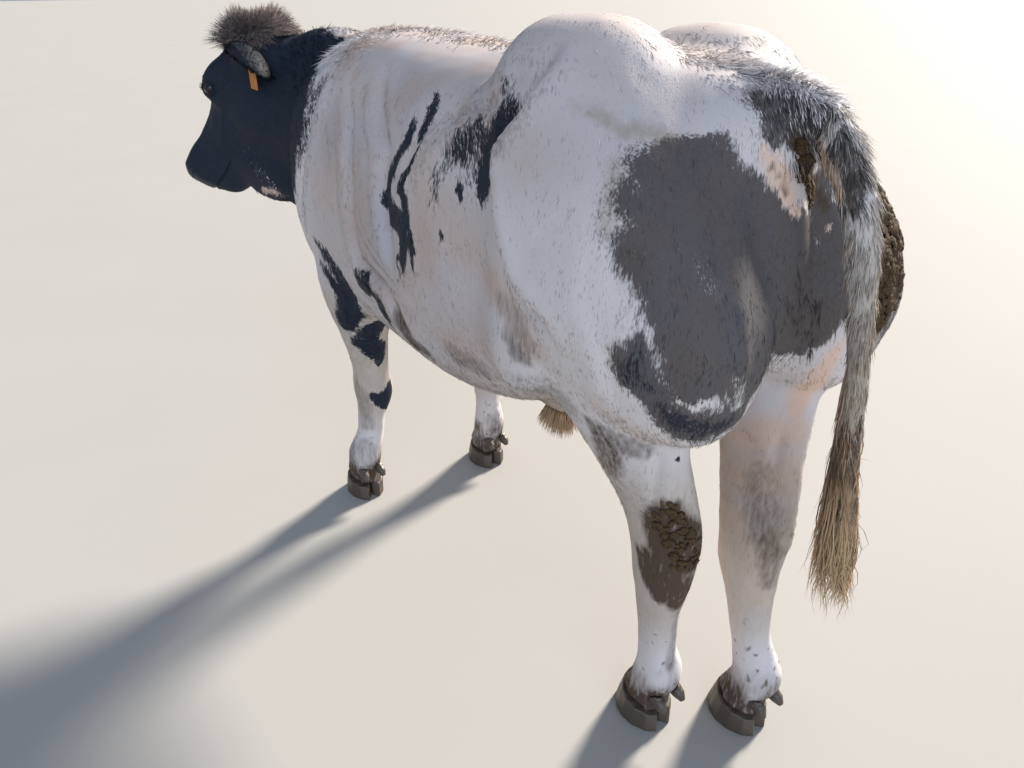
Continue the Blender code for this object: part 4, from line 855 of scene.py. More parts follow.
class Finish:
    def __init__(self, name, **constants):
        self.material = bpy.data.materials.new(name)
        self.material.use_nodes = True
        self.tree = self.material.node_tree
        self.shader = self.tree.nodes["Principled BSDF"]
        for socket, value in constants.items():
            self.shader.inputs[socket.replace("_", " ")].default_value = value

    def node(self, kind, settings=None, output=0, **sockets):
        made = self.tree.nodes.new("ShaderNode" + kind)
        for key, value in (settings or {}).items():
            setattr(made, key, value)
        for key, value in sockets.items():
            numbered = key[0] == "i" and key[1:].isdigit()  # i6 is the socket numbered 6
            plug(self.tree, made.inputs[int(key[1:]) if numbered else key], value)
        return Wire(self.tree, made.outputs[output])

    def field(self, name, output=2):
        return self.node("Attribute", {"attribute_name": name}, output)

    def mix(self, share, first, second):
        return self.node("Mix", {"data_type": "RGBA"}, 2, Factor=share, i6=first, i7=second)

    def noise(self, place, size, detail=2.0, stretch=(1, 1, 1), roughness=0.5):
        scaled = self.node("Mapping", None, 0, Vector=place, Scale=[share / size for share in stretch])
        return self.node("TexNoise", None, 0, Vector=scaled, Scale=1.0, Detail=detail, Roughness=roughness)

    def cracks(self, place, scale):  # distance to the nearest edge between cells
        scaled = self.node("Mapping", None, 0, Vector=place, Scale=scale)
        return self.node("TexVoronoi", {"feature": "DISTANCE_TO_EDGE"}, 0, Vector=scaled, Scale=1.0)

    def objectPlace(self):
        return self.node("TexCoord", None, 3)

    def give(self, socket, wire):
        plug(self.tree, self.shader.inputs[socket], wire)

    def bump(self, height, strength, distance):
        self.give("Normal", self.node("Bump", None, 0, Height=height, Strength=strength, Distance=distance))


hairColours = {
    "white": (0.69, 0.665, 0.68, 1), "cream": (0.60, 0.44, 0.34, 1), "black": (0.0090, 0.0155, 0.0280, 1),
    "tan": (0.27, 0.165, 0.115, 1), "grey": (0.048, 0.053, 0.064, 1), "earth": (0.062, 0.052, 0.046, 1),
    # the pink on the next line is bare skin painted brighter, as painted sunlight
    "mudAndShade": (0.062, 0.043, 0.028, 1), "green": (0.25, 0.21, 0.110, 1), "pink": (0.80, 0.57, 0.45, 1),
    # the cool and warm shade colours on the next line are painted shade
    "coolPaintedShade": (0.33, 0.33, 0.38, 1), "warmPaintedShade": (0.40, 0.31, 0.28, 1), "crack": (0.026, 0.024, 0.026, 1),
    "softBlack": (0.024, 0.036, 0.058, 1), "fleck": (0.15, 0.165, 0.19, 1), "bareSkin": (0.16, 0.11, 0.10, 1),
}


def coatColour(finish, place, tone, share):
    c = hairColours
    fine = finish.noise(place, 0.007, 2.0, (1, 1, 0.25))
    broad = finish.noise(place, 0.050, 2.0, (1, 1, 0.45))
    wide = finish.noise(place, 0.16, 2.0)
    streaks = (fine - 0.5) * 1.3 + (broad - 0.5) * 0.5
    dark, grey, light = (finish.field(name) for name in ("dark", "grey", "light"))
    mudAndShade, smear, warm, pink = (finish.field(name) for name in ("mudAndShade", "smear", "warm", "pink"))
    # each tuft is black or white, and between the two the mixed hair reads as roan
    middle = dark * (1.0 - dark) * 4.0
    blackShare = dark * 1.28 - 0.14 + streaks * (middle * 0.8)
    black = ((blackShare - tone) * share + 0.5).held() * (dark * 1.4 + 0.15).held()
    greyMiddle = grey * (1.0 - grey) * 4.0
    greyShare = grey * 1.30 - 0.20 - light * 0.7 - pink * 0.9 + streaks * (greyMiddle * 0.9)
    greyHair = ((greyShare - tone * 0.9) * (share * 0.6) + 0.45).held()
    colour = finish.mix((warm * 0.62 + streaks * 0.25 + (wide - 0.5) * 0.5).held(), c["white"], c["cream"])
    patches = (wide * 3.0 - 1.0).held()
    # painted shade over the ribs and haunch, cool or warm in broad patches
    colour = finish.mix(finish.field("paintedShade"), colour, finish.mix(patches, c["coolPaintedShade"], c["warmPaintedShade"]))
    tanHair = warm * 0.62 + (wide - 0.45) * 0.30 + streaks * 0.45 - tone * 0.5 - 0.10
    colour = finish.mix((tanHair * (share * 0.3)).held() * 0.55, colour, c["tan"])
    colour = finish.mix((pink * 0.85).held(), colour, c["pink"])
    colour = finish.mix(((smear + streaks * 0.5 * smear) * 0.85).held(), colour, c["green"])
    brownish = finish.mix((broad * 2.4 - 0.85).held(), c["grey"], c["earth"])
    crack = ((0.13 - finish.cracks(place, (75, 75, 55))) * 7.0 * patches).held()
    brownish = finish.mix(crack * 0.75, brownish, c["crack"])
    colour = finish.mix((greyHair * 0.94).held(), colour, brownish)
    sparse = (finish.noise(place, 0.060, 2.0) * 0.30 - 0.135).held() + finish.field("fleck") * 0.5
    darkHair = finish.mix(((tone - 0.30) * 0.75).held(), c["black"], c["softBlack"])
    darkHair = finish.mix(((tone - 1.0 + sparse) * 5.0).held() * 0.7, darkHair, c["fleck"])
    colour = finish.mix(black, colour, darkHair)
    # mud colour, which also paints the shade in the fold behind the elbow
    blotch = (mudAndShade * 1.35 + streaks * (mudAndShade * 1.2) - 0.25).held()
    return finish.mix(blotch, colour, c["mudAndShade"])


def skinFinish():
    finish = Finish("skin_coat", Roughness=0.70, Specular_IOR_Level=0.18)
    place = finish.objectPlace()
    tone = finish.noise(place, 0.0028, 2.0, (1, 1, 0.22))
    colour = coatColour(finish, place, (tone - 0.5) * 1.6 + 0.5, 3.0)
    colour = finish.mix((1.0 - finish.field("dark") * 0.9) * 0.16, colour, hairColours["bareSkin"])
    finish.give("Base Color", colour)
    pad = finish.field("pad")
    finish.give("Roughness", 0.70 - pad * 0.36)
    pebbles = (finish.cracks(place, (230, 230, 230)) * 3.0).held()
    finish.bump(finish.noise(place, 0.0026, 3.0, (1, 1, 0.2)) * (1.0 - pad) + pebbles * pad, 0.35, 0.0015)
    return finish.material


def tuftFinish():
    finish = Finish("hair_coat", Roughness=0.60, Specular_IOR_Level=0.12)
    tone, along = finish.field("tone"), finish.field("along")
    place = finish.field("rootPlace", 1)
    colour = coatColour(finish, place, tone, 4.5)
    grain = finish.noise(place, 0.0105, 3.0, (1, 1, 0.42), 0.6)
    shade = (0.84 + along * 0.24) * (0.66 + 0.68 * finish.field("tint")) * (0.42 + 1.16 * grain)
    colour = finish.node("Mix", {"data_type": "RGBA", "blend_type": "MULTIPLY"}, 2, Factor=1.0, i6=colour,
                         i7=finish.node("CombineColor", None, 0, Red=shade, Green=shade, Blue=shade))
    finish.give("Base Color", colour)
    # hair that lies flat takes most of its shading from the form under it
    own = finish.node("NewGeometry", None, 1)
    under = finish.field("skinNormal", 1)
    blend = finish.node("VectorMath", {"operation": "MULTIPLY_ADD"}, 0, i0=under, i1=(1.0, 1.0, 1.0), i2=own)
    finish.give("Normal", finish.node("VectorMath", {"operation": "NORMALIZE"}, 0, i0=blend))
    return finish.material


skinMaterial = skinFinish()
tuftMaterial = tuftFinish()
skin.data.materials.clear()
skin.data.materials.append(skinMaterial)


# coat: tufts seated on the skin and laid along it
coatValues = {"seed": 5, "tufts": 240000, "length": 0.0165, "width": 0.00222, "rootSink": 0.0012}


def trianglesOf(mesh):
    mesh.calc_loop_triangles()
    tri = np.empty(len(mesh.loop_triangles) * 3, np.int32)
    mesh.loop_triangles.foreach_get("vertices", tri)
    return tri.reshape(-1, 3)


def growRoots(rng, count, weightOf, mesh):
    co, normals, tri = getCo(mesh), getNormals(mesh), trianglesOf(mesh)
    a, b, c = co[tri[:, 0]], co[tri[:, 1]], co[tri[:, 2]]
    area = np.linalg.norm(np.cross(b - a, c - a), axis=1) / 2
    middle = (a + b + c) / 3
    weight = area * weightOf(middle, normals[tri].mean(axis=1))
    chosen = rng.choice(len(tri), count, p=weight / weight.sum())
    u, v = rng.random(count), rng.random(count)
    over = u + v > 1
    u[over], v[over] = 1 - u[over], 1 - v[over]
    corners = list(zip(tri[chosen].T, (1 - u - v, u, v)))
    place = sum(co[corner] * share[:, None] for corner, share in corners)
    normal = sum(normals[corner] * share[:, None] for corner, share in corners)
    return place, unit(normal)


def unit(v):
    return v / np.maximum(np.linalg.norm(v, axis=1), 1e-9)[:, None]


def flatten(v, normal):  # unit vectors laid into the surface
    return unit(v - normal * (v * normal).sum(axis=1)[:, None])


def randomWave(rng, count, swing, turns):
    return rng.uniform(*swing, count), rng.uniform(*turns, count), rng.uniform(0, 6.3, count)


def hairLie(place, normal):
    bull, head = toBull(place), toHead(place)
    quarter = smoothStep(.24, .40, bull[:, 1])
    neck = smoothStep(-.60, -.75, bull[:, 1])
    tail = smoothStep(.64, .68, bull[:, 1]) * (np.abs(bull[:, 0]) < .06)
    belly = smoothStep(.72, .62, bull[:, 2]) * (normal[:, 2] < -0.3)
    lie = np.tile((0.0, 0.38, -1.0), (len(place), 1))
    for share, way in ((quarter, (0.0, 0.10, -1.0)), (neck, (-0.15, 0.75, -0.75)),
                       (tail, (0.0, 0.25, -1.0)), (belly, (0.0, 1.0, -0.2))):
        lie = blend(lie, np.array(way), share)
    up, out = headAxes[:, 1], headAxes[:, 2]
    onHead = window(head[:, 1], (0.06, 0.0)) * window(head[:, 2], (-.33, -.27)) * (np.abs(head[:, 0]) < .2)
    face = blend(up, -up, smoothStep(-.10, -.16, head[:, 1]))
    face = blend(face, up * 0.6 - out * 0.8, smoothStep(-.06, -.14, head[:, 2]))
    lie = blend(lie, face, onHead)
    sway = softNoises(bull, .10, (41, 42, 43)) * 0.22
    sway += softNoises(bull, .016, (44, 45, 46)) * 0.15
    return flatten(unit(lie) + sway, normal)


def shapeOf(bm):
    points = np.array([tuple(v.co) for v in bm.verts])
    faces = np.array([[v.index for v in f.verts] for f in bm.faces])
    bm.free()
    return points, faces


def tuftShape(cuts):  # a three-sided spike along Z, cut across at each share of its length
    bm = bmesh.new()
    bmesh.ops.create_cone(bm, cap_ends=True, cap_tris=False, segments=3, radius1=1, radius2=0, depth=1,
                          matrix=Matrix.Translation((0, 0, 0.5)))
    bmesh.ops.remove_doubles(bm, verts=bm.verts, dist=0.0001)
    for cut in cuts:
        bmesh.ops.bisect_plane(
            bm, geom=bm.verts[:] + bm.edges[:] + bm.faces[:], plane_co=(0, 0, cut), plane_no=(0, 0, 1))
    bmesh.ops.triangulate(bm, faces=bm.faces)
    bmesh.ops.recalc_face_normals(bm, faces=bm.faces)
    return shapeOf(bm)


def layTufts(shape, place, normal, lie, length, width, lift, bend, fullness=0.6, fall=None, wave=None):
    points, _ = shape
    z = points[:, 2]
    across = np.cross(lie, normal)
    swell = np.where(z < 0.999, (1 - z ** 2.2) / np.maximum(1 - z, 1e-3), 0)
    x, y = points[:, 0] * swell, points[:, 1] * swell
    rise = np.sin(lift)[:, None] * z - bend[:, None] * z ** 2
    run = np.cos(lift)[:, None] * z
    spine = lie[:, None, :] * run[:, :, None] + normal[:, None, :] * rise[:, :, None]
    slope = lie[:, None, :] * np.cos(lift)[:, None, None] + normal[:, None, :] * (
        np.sin(lift)[:, None] - 2 * bend[:, None] * z)[:, :, None]
    if fall is not None:
        spine = spine + fall[:, None, :] * (z ** 2)[None, :, None]
        slope = slope + fall[:, None, :] * (2 * z)[None, :, None]
    if wave is not None:
        swing, turns, phase = wave
        angle = turns[:, None] * z * 2 * math.pi + phase[:, None]
        swung = swing[:, None] * (np.sin(angle) - np.sin(phase)[:, None]) * z
        spine = spine + across[:, None, :] * swung[:, :, None]
    up = np.cross(np.broadcast_to(across[:, None, :], slope.shape), slope)
    up /= np.maximum(np.linalg.norm(up, axis=2), 1e-9)[:, :, None]
    half = width[:, None] * 0.5
    out = (place - normal * coatValues["rootSink"])[:, None, :] + spine * length[:, None, None]
    out = out + up * (y * half * fullness)[:, :, None]
    return out + across[:, None, :] * (x * half)[:, :, None]


def meshFrom(name, points, faces):
    mesh = bpy.data.meshes.new(name)
    mesh.vertices.add(len(points))
    mesh.vertices.foreach_set("co", points.astype(np.float32).ravel())
    mesh.loops.add(faces.size)
    mesh.loops.foreach_set("vertex_index", faces.astype(np.int32).ravel())
    mesh.polygons.add(len(faces))
    mesh.polygons.foreach_set("loop_start", np.arange(0, faces.size, 3, dtype=np.int32))
    mesh.polygons.foreach_set("use_smooth", np.ones(len(faces), bool))
    mesh.update(calc_edges=True)
    return mesh


def coatPiece(name, shape, laid, place, normal, rng, unwrap, material, extra=None):
    points, faces = shape
    count, each = len(place), len(points)
    allFaces = (faces[None, :, :] + (np.arange(count) * each)[:, None, None]).reshape(-1, 3)
    mesh = meshFrom(name, laid.reshape(-1, 3), allFaces)
    fields = markFields(place)
    if extra:
        extra(fields, place)
    fields["tone"] = rng.random(count)
    fields.setdefault("tint", rng.random(count))
    putFields(mesh, {k: np.repeat(v, each) for k, v in fields.items()})
    putFields(mesh, {"along": np.tile(points[:, 2], count)})
    for field, value in (("rootPlace", place), ("skinNormal", normal)):
        layer = mesh.attributes.new(field, "FLOAT_VECTOR", "POINT")
        layer.data.foreach_set("vector", np.repeat(value, each, axis=0).astype(np.float32).ravel())
    uv = unwrap(place) * 0.98 + 0.01
    angle = np.arctan2(points[:, 1], points[:, 0])
    spread = 0.0015 * np.stack([np.cos(angle), np.sin(angle)], axis=1) * (1 - points[:, 2:3] * 0.6)
    perPoint = (uv[:, None, :] + spread[None, :, :]).reshape(-1, 2)
    uvLayer = mesh.uv_layers.new(name="OFBake")
    uvLayer.uv.foreach_set("vector", perPoint[allFaces.ravel()].astype(np.float32).ravel())
    mesh.materials.append(material)
    piece = addObject(name, mesh)
    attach(piece, "root")
    return piece


def fit01(value):
    low, high = value.min(), value.max()
    return (value - low) / max(high - low, 1e-6)


def fitBoth(across, along):
    return np.stack([fit01(across), fit01(along)], axis=1)


def unwrapRound(axisStart, axisEnd, up=(0, 0, 1)):  # turn about a line, and the way along it
    start, end = np.array(axisStart, float) + shiftRow, np.array(axisEnd, float) + shiftRow
    along = (end - start) / np.linalg.norm(end - start)
    side = np.cross(along, np.array(up, float))
    side /= np.linalg.norm(side)
    top = np.cross(side, along)

    def unwrap(place):
        rel = place - start
        turn = np.arctan2(rel @ side, -(rel @ top))
        return fitBoth(turn, rel @ along)

    return unwrap


def regionOf(place):  # names the coat piece that a root belongs to
    bull, head = toBull(place), toHead(place)
    x, y, z = bull.T
    region = np.full(len(place), "flank_left", dtype=object)
    region[x < 0] = "flank_right"
    rear = y > 0.27
    region[rear & (x >= 0)] = "quarter_left"
    region[rear & (x < 0)] = "quarter_right"
    region[(np.abs(x) < 0.10) & (z > 1.2) & (y > -.75) & (y < .62)] = "back"
    front = y < -0.36
    region[front & (x >= 0)] = "shoulder_left"
    region[front & (x < 0)] = "shoulder_right"
    region[(y > 0.655) & (np.abs(x) < 0.06) & (z > 0.5)] = "tail"
    region[(z < 0.72) & (y > 0.3) & (x >= 0.005)] = "hindleg_left"
    region[(z < 0.72) & (y > 0.3) & (x < 0.005)] = "hindleg_right"
    region[(z < 0.66) & (y < -0.36) & (x >= 0)] = "foreleg_left"
    region[(z < 0.66) & (y < -0.36) & (x < 0)] = "foreleg_right"
    region[(y < -0.70) & (z > 0.6)] = "neck"
    region[(head[:, 1] < 0.02) & (np.abs(head[:, 0]) < .2) & (head[:, 2] > -.33)] = "head"
    return region


unwraps = {
    "head": unwrapRound((0.23, -1.01, 1.20), (0.39, -1.24, 0.86), (0, 0, 1)),
    "neck": unwrapRound((0, -0.60, 1.02), (0.19, -1.02, 1.13)),
    "tail": unwrapRound((0, 0.70, 1.30), (0, 0.80, 0.50), (0, 1, 0)),
    "hindleg_left": unwrapRound((0.15, 0.54, 0.75), (0.08, 0.52, 0.0), (0, 1, 0)),
    "hindleg_right": unwrapRound((-0.12, 0.58, 0.75), (-0.08, 0.64, 0.0), (0, 1, 0)),
    "foreleg_left": unwrapRound((0.20, -0.54, 0.75), (0.18, -0.60, 0.0), (0, 1, 0)),
    "foreleg_right": unwrapRound((-0.20, -0.54, 0.75), (-0.20, -0.53, 0.0), (0, 1, 0)),
}
trunkUnwrap = unwrapRound((0, -0.80, 0.98), (0, 0.70, 1.02))


def shortCoat():
    rng = np.random.default_rng(coatValues["seed"])

    def weight(middle, normal):
        bull, head = toBull(middle), toHead(middle)
        value = np.ones(len(middle))
        onHead = (head[:, 1] < 0.03) & (np.abs(head[:, 0]) < .2) & (head[:, 2] > -.33)
        value[onHead] = 2.2
        value[onHead & (head[:, 1] < -.425)] = 0
        for centre in eyeCentres.values():
            value[np.linalg.norm(middle - np.array(centre), axis=1) < 0.027] = 0
        gap, on = lipGap(head)
        value[(on > 0.3) & (np.abs(gap) < 0.0026)] = 0
        value[bull[:, 2] < 0.55] = 1.5
        value[bull[:, 2] < 0.075] = 0
        return value

    place, normal = growRoots(rng, coatValues["tufts"], weight, skin.data)
    bull, head = toBull(place), toHead(place)
    lie = hairLie(place, normal)
    length = np.full(len(place), coatValues["length"])
    wide = np.full(len(place), coatValues["width"])
    onHead = window(head[:, 1], (0.05, -0.02)) * window(head[:, 2], (-.33, -.28)) * (np.abs(head[:, 0]) < .2)
    faceward = onHead * smoothStep(-.05, -.30, head[:, 1])
    length *= 1 - 0.35 * onHead - 0.30 * faceward
    wide *= 1 - 0.30 * onHead - 0.15 * faceward
    leg = smoothStep(0.60, 0.35, bull[:, 2])
    length *= 1 - 0.42 * leg
    wide *= 1 - 0.25 * leg
    under = window(normal[:, 2], (-0.2, -0.8)) * window(bull[:, 2], (.50, .70))
    length *= 1 + 0.4 * under
    top = window(normal[:, 2], (0.75, 0.95)) * window(bull[:, 2], (1.20, 1.28))
    length *= 1 + 0.25 * top
    # hair lies in small waves, a clump of tufts tilting together
    clump = softNoise(bull + 0.006 * softNoise(bull, .02, 50)[:, None], (.0055, .0055, .016), 51)
    swing = softNoise(bull, (.0060, .0060, .018), 52)
    roll = softNoise(bull, (.045, .045, .07), 53)
    length *= rng.uniform(0.75, 1.2, len(place)) * (1 + 0.20 * clump)
    wide *= rng.uniform(0.75, 1.25, len(place))
    lift = np.radians(rng.uniform(4, 8, len(place)) + 3.5 * np.maximum(clump, 0))
    lift *= 1 - 0.60 * top + 0.4 * under
    bend = rng.uniform(0.02, 0.10, len(place))
    shape = tuftShape([])
    laid = layTufts(shape, place, normal, lie, length, wide, lift, bend, 0.6)
    across = np.cross(lie, normal)
    body = 1 - 0.6 * onHead
    shading = normal + across * ((0.34 * swing + 0.10 * roll) * body)[:, None]
    shading = unit(shading - lie * ((0.26 * clump) * body)[:, None]) * (1.1 - 0.55 * onHead)[:, None]
    region = regionOf(place)
    for name in sorted(set(region)):
        chosen = region == name
        piece = coatPiece("coat_" + name, shape, laid[chosen], place[chosen], shading[chosen], rng,
                          unwraps.get(name, trunkUnwrap), tuftMaterial)


shortCoat()
print("short coat done")


# ears, eyes, hooves and tag
earValues = {
    "voxel": 0.0026, "softenRounds": 5, "length": 0.190, "root": (0.094, -0.016, -0.026),
    "lie": (0.58, 0.76, -0.24), "back": (-0.60, -0.10, 0.80), "rootSink": 0.012,
    "tufts": 4200, "tuftWidth": 0.0017, "tuftLength": 0.012,
}
skinTree = BVHTree.FromPolygons([v.co for v in skin.data.vertices],
                                [list(polygon.vertices) for polygon in skin.data.polygons])


def fineCopy(name, node, voxel, rounds, material):
    piece = fuseNodes(name, [node], voxel, rounds)
    shadeSmooth(piece.data)
    piece.data.materials.clear()
    piece.data.materials.append(material)
    return piece


def earPlace(side):  # ear space: Y runs to the tip, Z out of the back of the cup
    turn = Matrix.Rotation(math.radians(headValues["turn"]), 3, "Z")
    outward, backward, rise = turn @ Vector((side, 0, 0)), turn @ Vector((0, 1, 0)), Vector((0, 0, 1))
    axes = [outward * v[0] + backward * v[1] + rise * v[2] for v in (earValues["lie"], earValues["back"])]
    along = axes[0].normalized()
    back = (axes[1] - along * axes[1].dot(along)).normalized()
    x, y, z = earValues["root"]
    place = Matrix((along.cross(back), along, back)).transposed().to_4x4()
    place.translation = headPlace() @ Vector((x * side, y, z))
    return place


def buildEar(word, side):
    voxel, rounds = earValues["voxel"], earValues["softenRounds"]
    ear = fineCopy("ear_skin_" + word, "ear_" + word, voxel, rounds, skinMaterial)
    mesh = ear.data
    co = getCo(mesh)
    for i, point in enumerate(co):  # the root goes on into the head
        _, normal, _, distance = skinTree.find_nearest(Vector(point))
        inward = float(smoothStep(0.014, 0.002, np.array(distance)))
        co[i] = point - np.array(normal) * earValues["rootSink"] * inward
    setCo(mesh, co)
    fields = markFields(co)
    fields["dark"][:] = 1
    putFields(mesh, fields)
    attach(ear, "root")
    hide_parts("ear_" + word)

    rng = np.random.default_rng(coatValues["seed"] + 7 + side)
    place, normal = growRoots(rng, earValues["tufts"], lambda middle, n: np.ones(len(middle)), mesh)
    space = np.array(earPlace(side).inverted())
    local = place @ space[:3, :3].T + space[:3, 3]
    localNormal = normal @ space[:3, :3].T
    axes = np.array(earPlace(side))[:3, :3]
    share = local[:, 1] / earValues["length"]
    rim = bell(localNormal[:, 2], 0, 0.45) * (share > 0.12)
    inner = (localNormal[:, 2] < -0.2).astype(float)
    lie = axes[:, 1] + axes[:, 0] * (np.sign(local[:, 0]) * (0.15 + 0.9 * rim))[:, None]
    lie = flatten(lie + rng.normal(0, 0.14, (len(place), 3)), normal)
    length = earValues["tuftLength"] + 0.013 * rim + 0.012 * inner * smoothStep(.7, .2, share)
    length *= rng.uniform(0.7, 1.25, len(place))
    width = np.full(len(place), earValues["tuftWidth"])
    lift = np.radians(rng.uniform(8, 18, len(place)) + 16 * rim + 14 * inner)
    shape = tuftShape([0.5])
    laid = layTufts(shape, place, normal, lie, length, width, lift, np.full(len(place), 0.06))

    def shade(fields, roots):
        fields["dark"][:] = 1
        fields["fleck"][:] = 0.6 * rim * (np.sign(local[:, 0]) > 0)
        # painted shade: the ear's hair is darkened below the black coat, its rim less
        fields["tint"] = 0.9 * rim - 0.80

    turned = fitBoth(np.arctan2(local[:, 0], local[:, 2] + 0.03), local[:, 1])
    piece = coatPiece("coat_ear_" + word, shape, laid, place, normal, rng,
                      lambda roots: turned, tuftMaterial, shade)


for word, side in sides.items():
    buildEar(word, side)
print("ears done")


def eyeFinish():
    finish = Finish("eye_ball", Roughness=0.16, Coat_Weight=0.35, Coat_Roughness=0.04, IOR=1.33)
    out, wide, high = finish.field("gazeOut"), finish.field("gazeWide"), finish.field("gazeHigh")
    streak = finish.noise(finish.objectPlace(), 0.0012, 3.0)
    white = finish.mix(((out - 1.0) * 2.2 + streak * 0.3).held(), *eyeValues["white"])
    iris = finish.mix((streak * 1.1 + out * 0.4 - 0.35).held(), *eyeValues["brown"])
    colour = finish.mix(((out - 0.94) * 14.0).held(), iris, white)
    pupil = wide * wide * 3.0 + high * high * 14.0
    colour = finish.mix(((1.0 - pupil) * 5.0).held(), colour, eyeValues["pupil"])
    finish.give("Base Color", colour)
    return finish.material


def buildEyes():
    material = eyeFinish()
    iris = eyeValues["iris"]
    for word, side in sides.items():
        bm = bmesh.new()
        bmesh.ops.create_uvsphere(bm, u_segments=64, v_segments=40, radius=eyeValues["radius"])
        mesh = meshOf("eye_ball_" + word, bm)
        gaze = np.array(eyeValues["gaze"]) * (side, 1, 1)
        gaze = headAxes @ (gaze / np.linalg.norm(gaze))
        wide = np.cross(gaze, headAxes[:, 2])
        wide /= np.linalg.norm(wide)
        high = np.cross(wide, gaze)
        co = getCo(mesh)
        across = np.linalg.norm(co - (co @ gaze)[:, None] * gaze, axis=1) / iris
        across[co @ gaze < 0] = 3
        co += gaze * (eyeValues["cornea"] * np.clip(1 - across ** 2, 0, 1))[:, None]
        fields = {"gazeOut": across, "gazeWide": (co @ wide) / iris, "gazeHigh": (co @ high) / iris}
        setCo(mesh, co + np.array(eyeCentres[word]))
        putFields(mesh, fields)
        shadeSmooth(mesh)
        mesh.materials.append(material)
        eye = addObject("eye_ball_" + word, mesh)
        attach(eye, "root")
        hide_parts("eye_" + word)


buildEyes()

clawValues = {
    "voxel": 0.0022, "dewVoxelShare": 0.7, "softenRounds": 4, "dirt": (0.085, 0.060, 0.038, 1),
    "horn": ((0.030, 0.024, 0.020, 1), (0.120, 0.090, 0.068, 1)),
}


def clawFinish():
    finish = Finish("claw_growth", Roughness=0.55, Coat_Weight=0.12, Coat_Roughness=0.4)
    place = finish.objectPlace()
    height = finish.node("SeparateXYZ", None, 2, Vector=place)
    wander = finish.noise(place, 0.030, 2.0)
    rings = (height * 900.0 + wander * 7.0).maths("SINE") * 0.5 + 0.5
    grain = finish.noise(place, 0.0016, 3.0, (1, 1, 0.15))
    colour = finish.mix((rings * 0.35 + grain * 0.5).held(), *clawValues["horn"])
    dirt = finish.noise(place, 0.018, 4.0)
    muddy = (dirt * 1.6 - 0.62 + (0.030 - height) * 9.0).held()
    finish.give("Base Color", finish.mix(muddy, colour, clawValues["dirt"]))
    finish.give("Roughness", (muddy * 0.35 + 0.45).held())
    finish.bump(rings * 0.6 + grain * 0.4 + dirt * 0.8, 0.5, 0.0012)
    return finish.material


clawMaterial = clawFinish()
for node in list(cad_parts):
    if "claw" in node:
        voxel = clawValues["voxel"] * (clawValues["dewVoxelShare"] if "dew" in node else 1)
        claw = fineCopy("horn_" + node, node, voxel, clawValues["softenRounds"], clawMaterial)
        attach(claw, "root")
        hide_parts(node)


tagValues = {
    "voxel": 0.0009, "softenRounds": 2, "height": 0.034, "squeeze": 0.2,
    "orange": (0.56, 0.20, 0.035, 1), "dust": (0.24, 0.12, 0.05, 1),
}


def tagFinish():
    finish = Finish("tag_worn", Coat_Weight=0.05)
    place = finish.objectPlace()
    dust = finish.noise(place, 0.012, 4.0)
    finish.give("Base Color", finish.mix((dust * 1.8 - 0.7).held(), tagValues["orange"], tagValues["dust"]))
    finish.give("Roughness", (dust * 0.4 + 0.35).held())
    finish.bump(finish.noise(place, 0.004, 3.0), 0.15, 0.0008)
    return finish.material


tag = fineCopy("tag_flag", "ear_tag", tagValues["voxel"], tagValues["softenRounds"], tagFinish())
tagCo = getCo(tag.data)
top = tagCo[:, 2].max() - tagValues["height"]  # its upper end is drawn into the ear
tagCo[:, 2] = np.where(tagCo[:, 2] > top, top + (tagCo[:, 2] - top) * tagValues["squeeze"], tagCo[:, 2])
setCo(tag.data, tagCo)
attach(tag, "root")
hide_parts("ear_tag")
print("eyes, hooves and tag done")


# long hair: poll, switch, sheath, back and the tufts that break the outline
pollValues = {
    "strands": 4300, "length": 0.062, "width": 0.0022, "radii": (0.090, 0.084), "back": 0.024,
    "whorl": (0.002, 0.014), "core": (0.030, 0.027, 0.030, 1),
    "hair": ((0.055, 0.044, 0.044, 1), (0.36, 0.285, 0.265, 1)),
}


def spread(rng, count):  # even points over a unit disc
    step = np.arange(count)
    reach = np.sqrt((step + 0.5) / count)
    turn = step * 2.399963 + rng.normal(0, 0.2, count)
    return np.stack([reach * np.cos(turn), reach * np.sin(turn)], axis=1)


def discPoints(disc, radii, middle, height):  # the disc's points in metres, about the middle
    flat = disc * radii
    flat[:, 1] += middle
    return np.concatenate([flat, np.full((len(disc), 1), height)], axis=1)


def castOn(starts, direction):  # where lines along one direction meet the skin
    return np.array([skinTree.ray_cast(Vector(point), Vector(direction))[0] for point in starts], float)


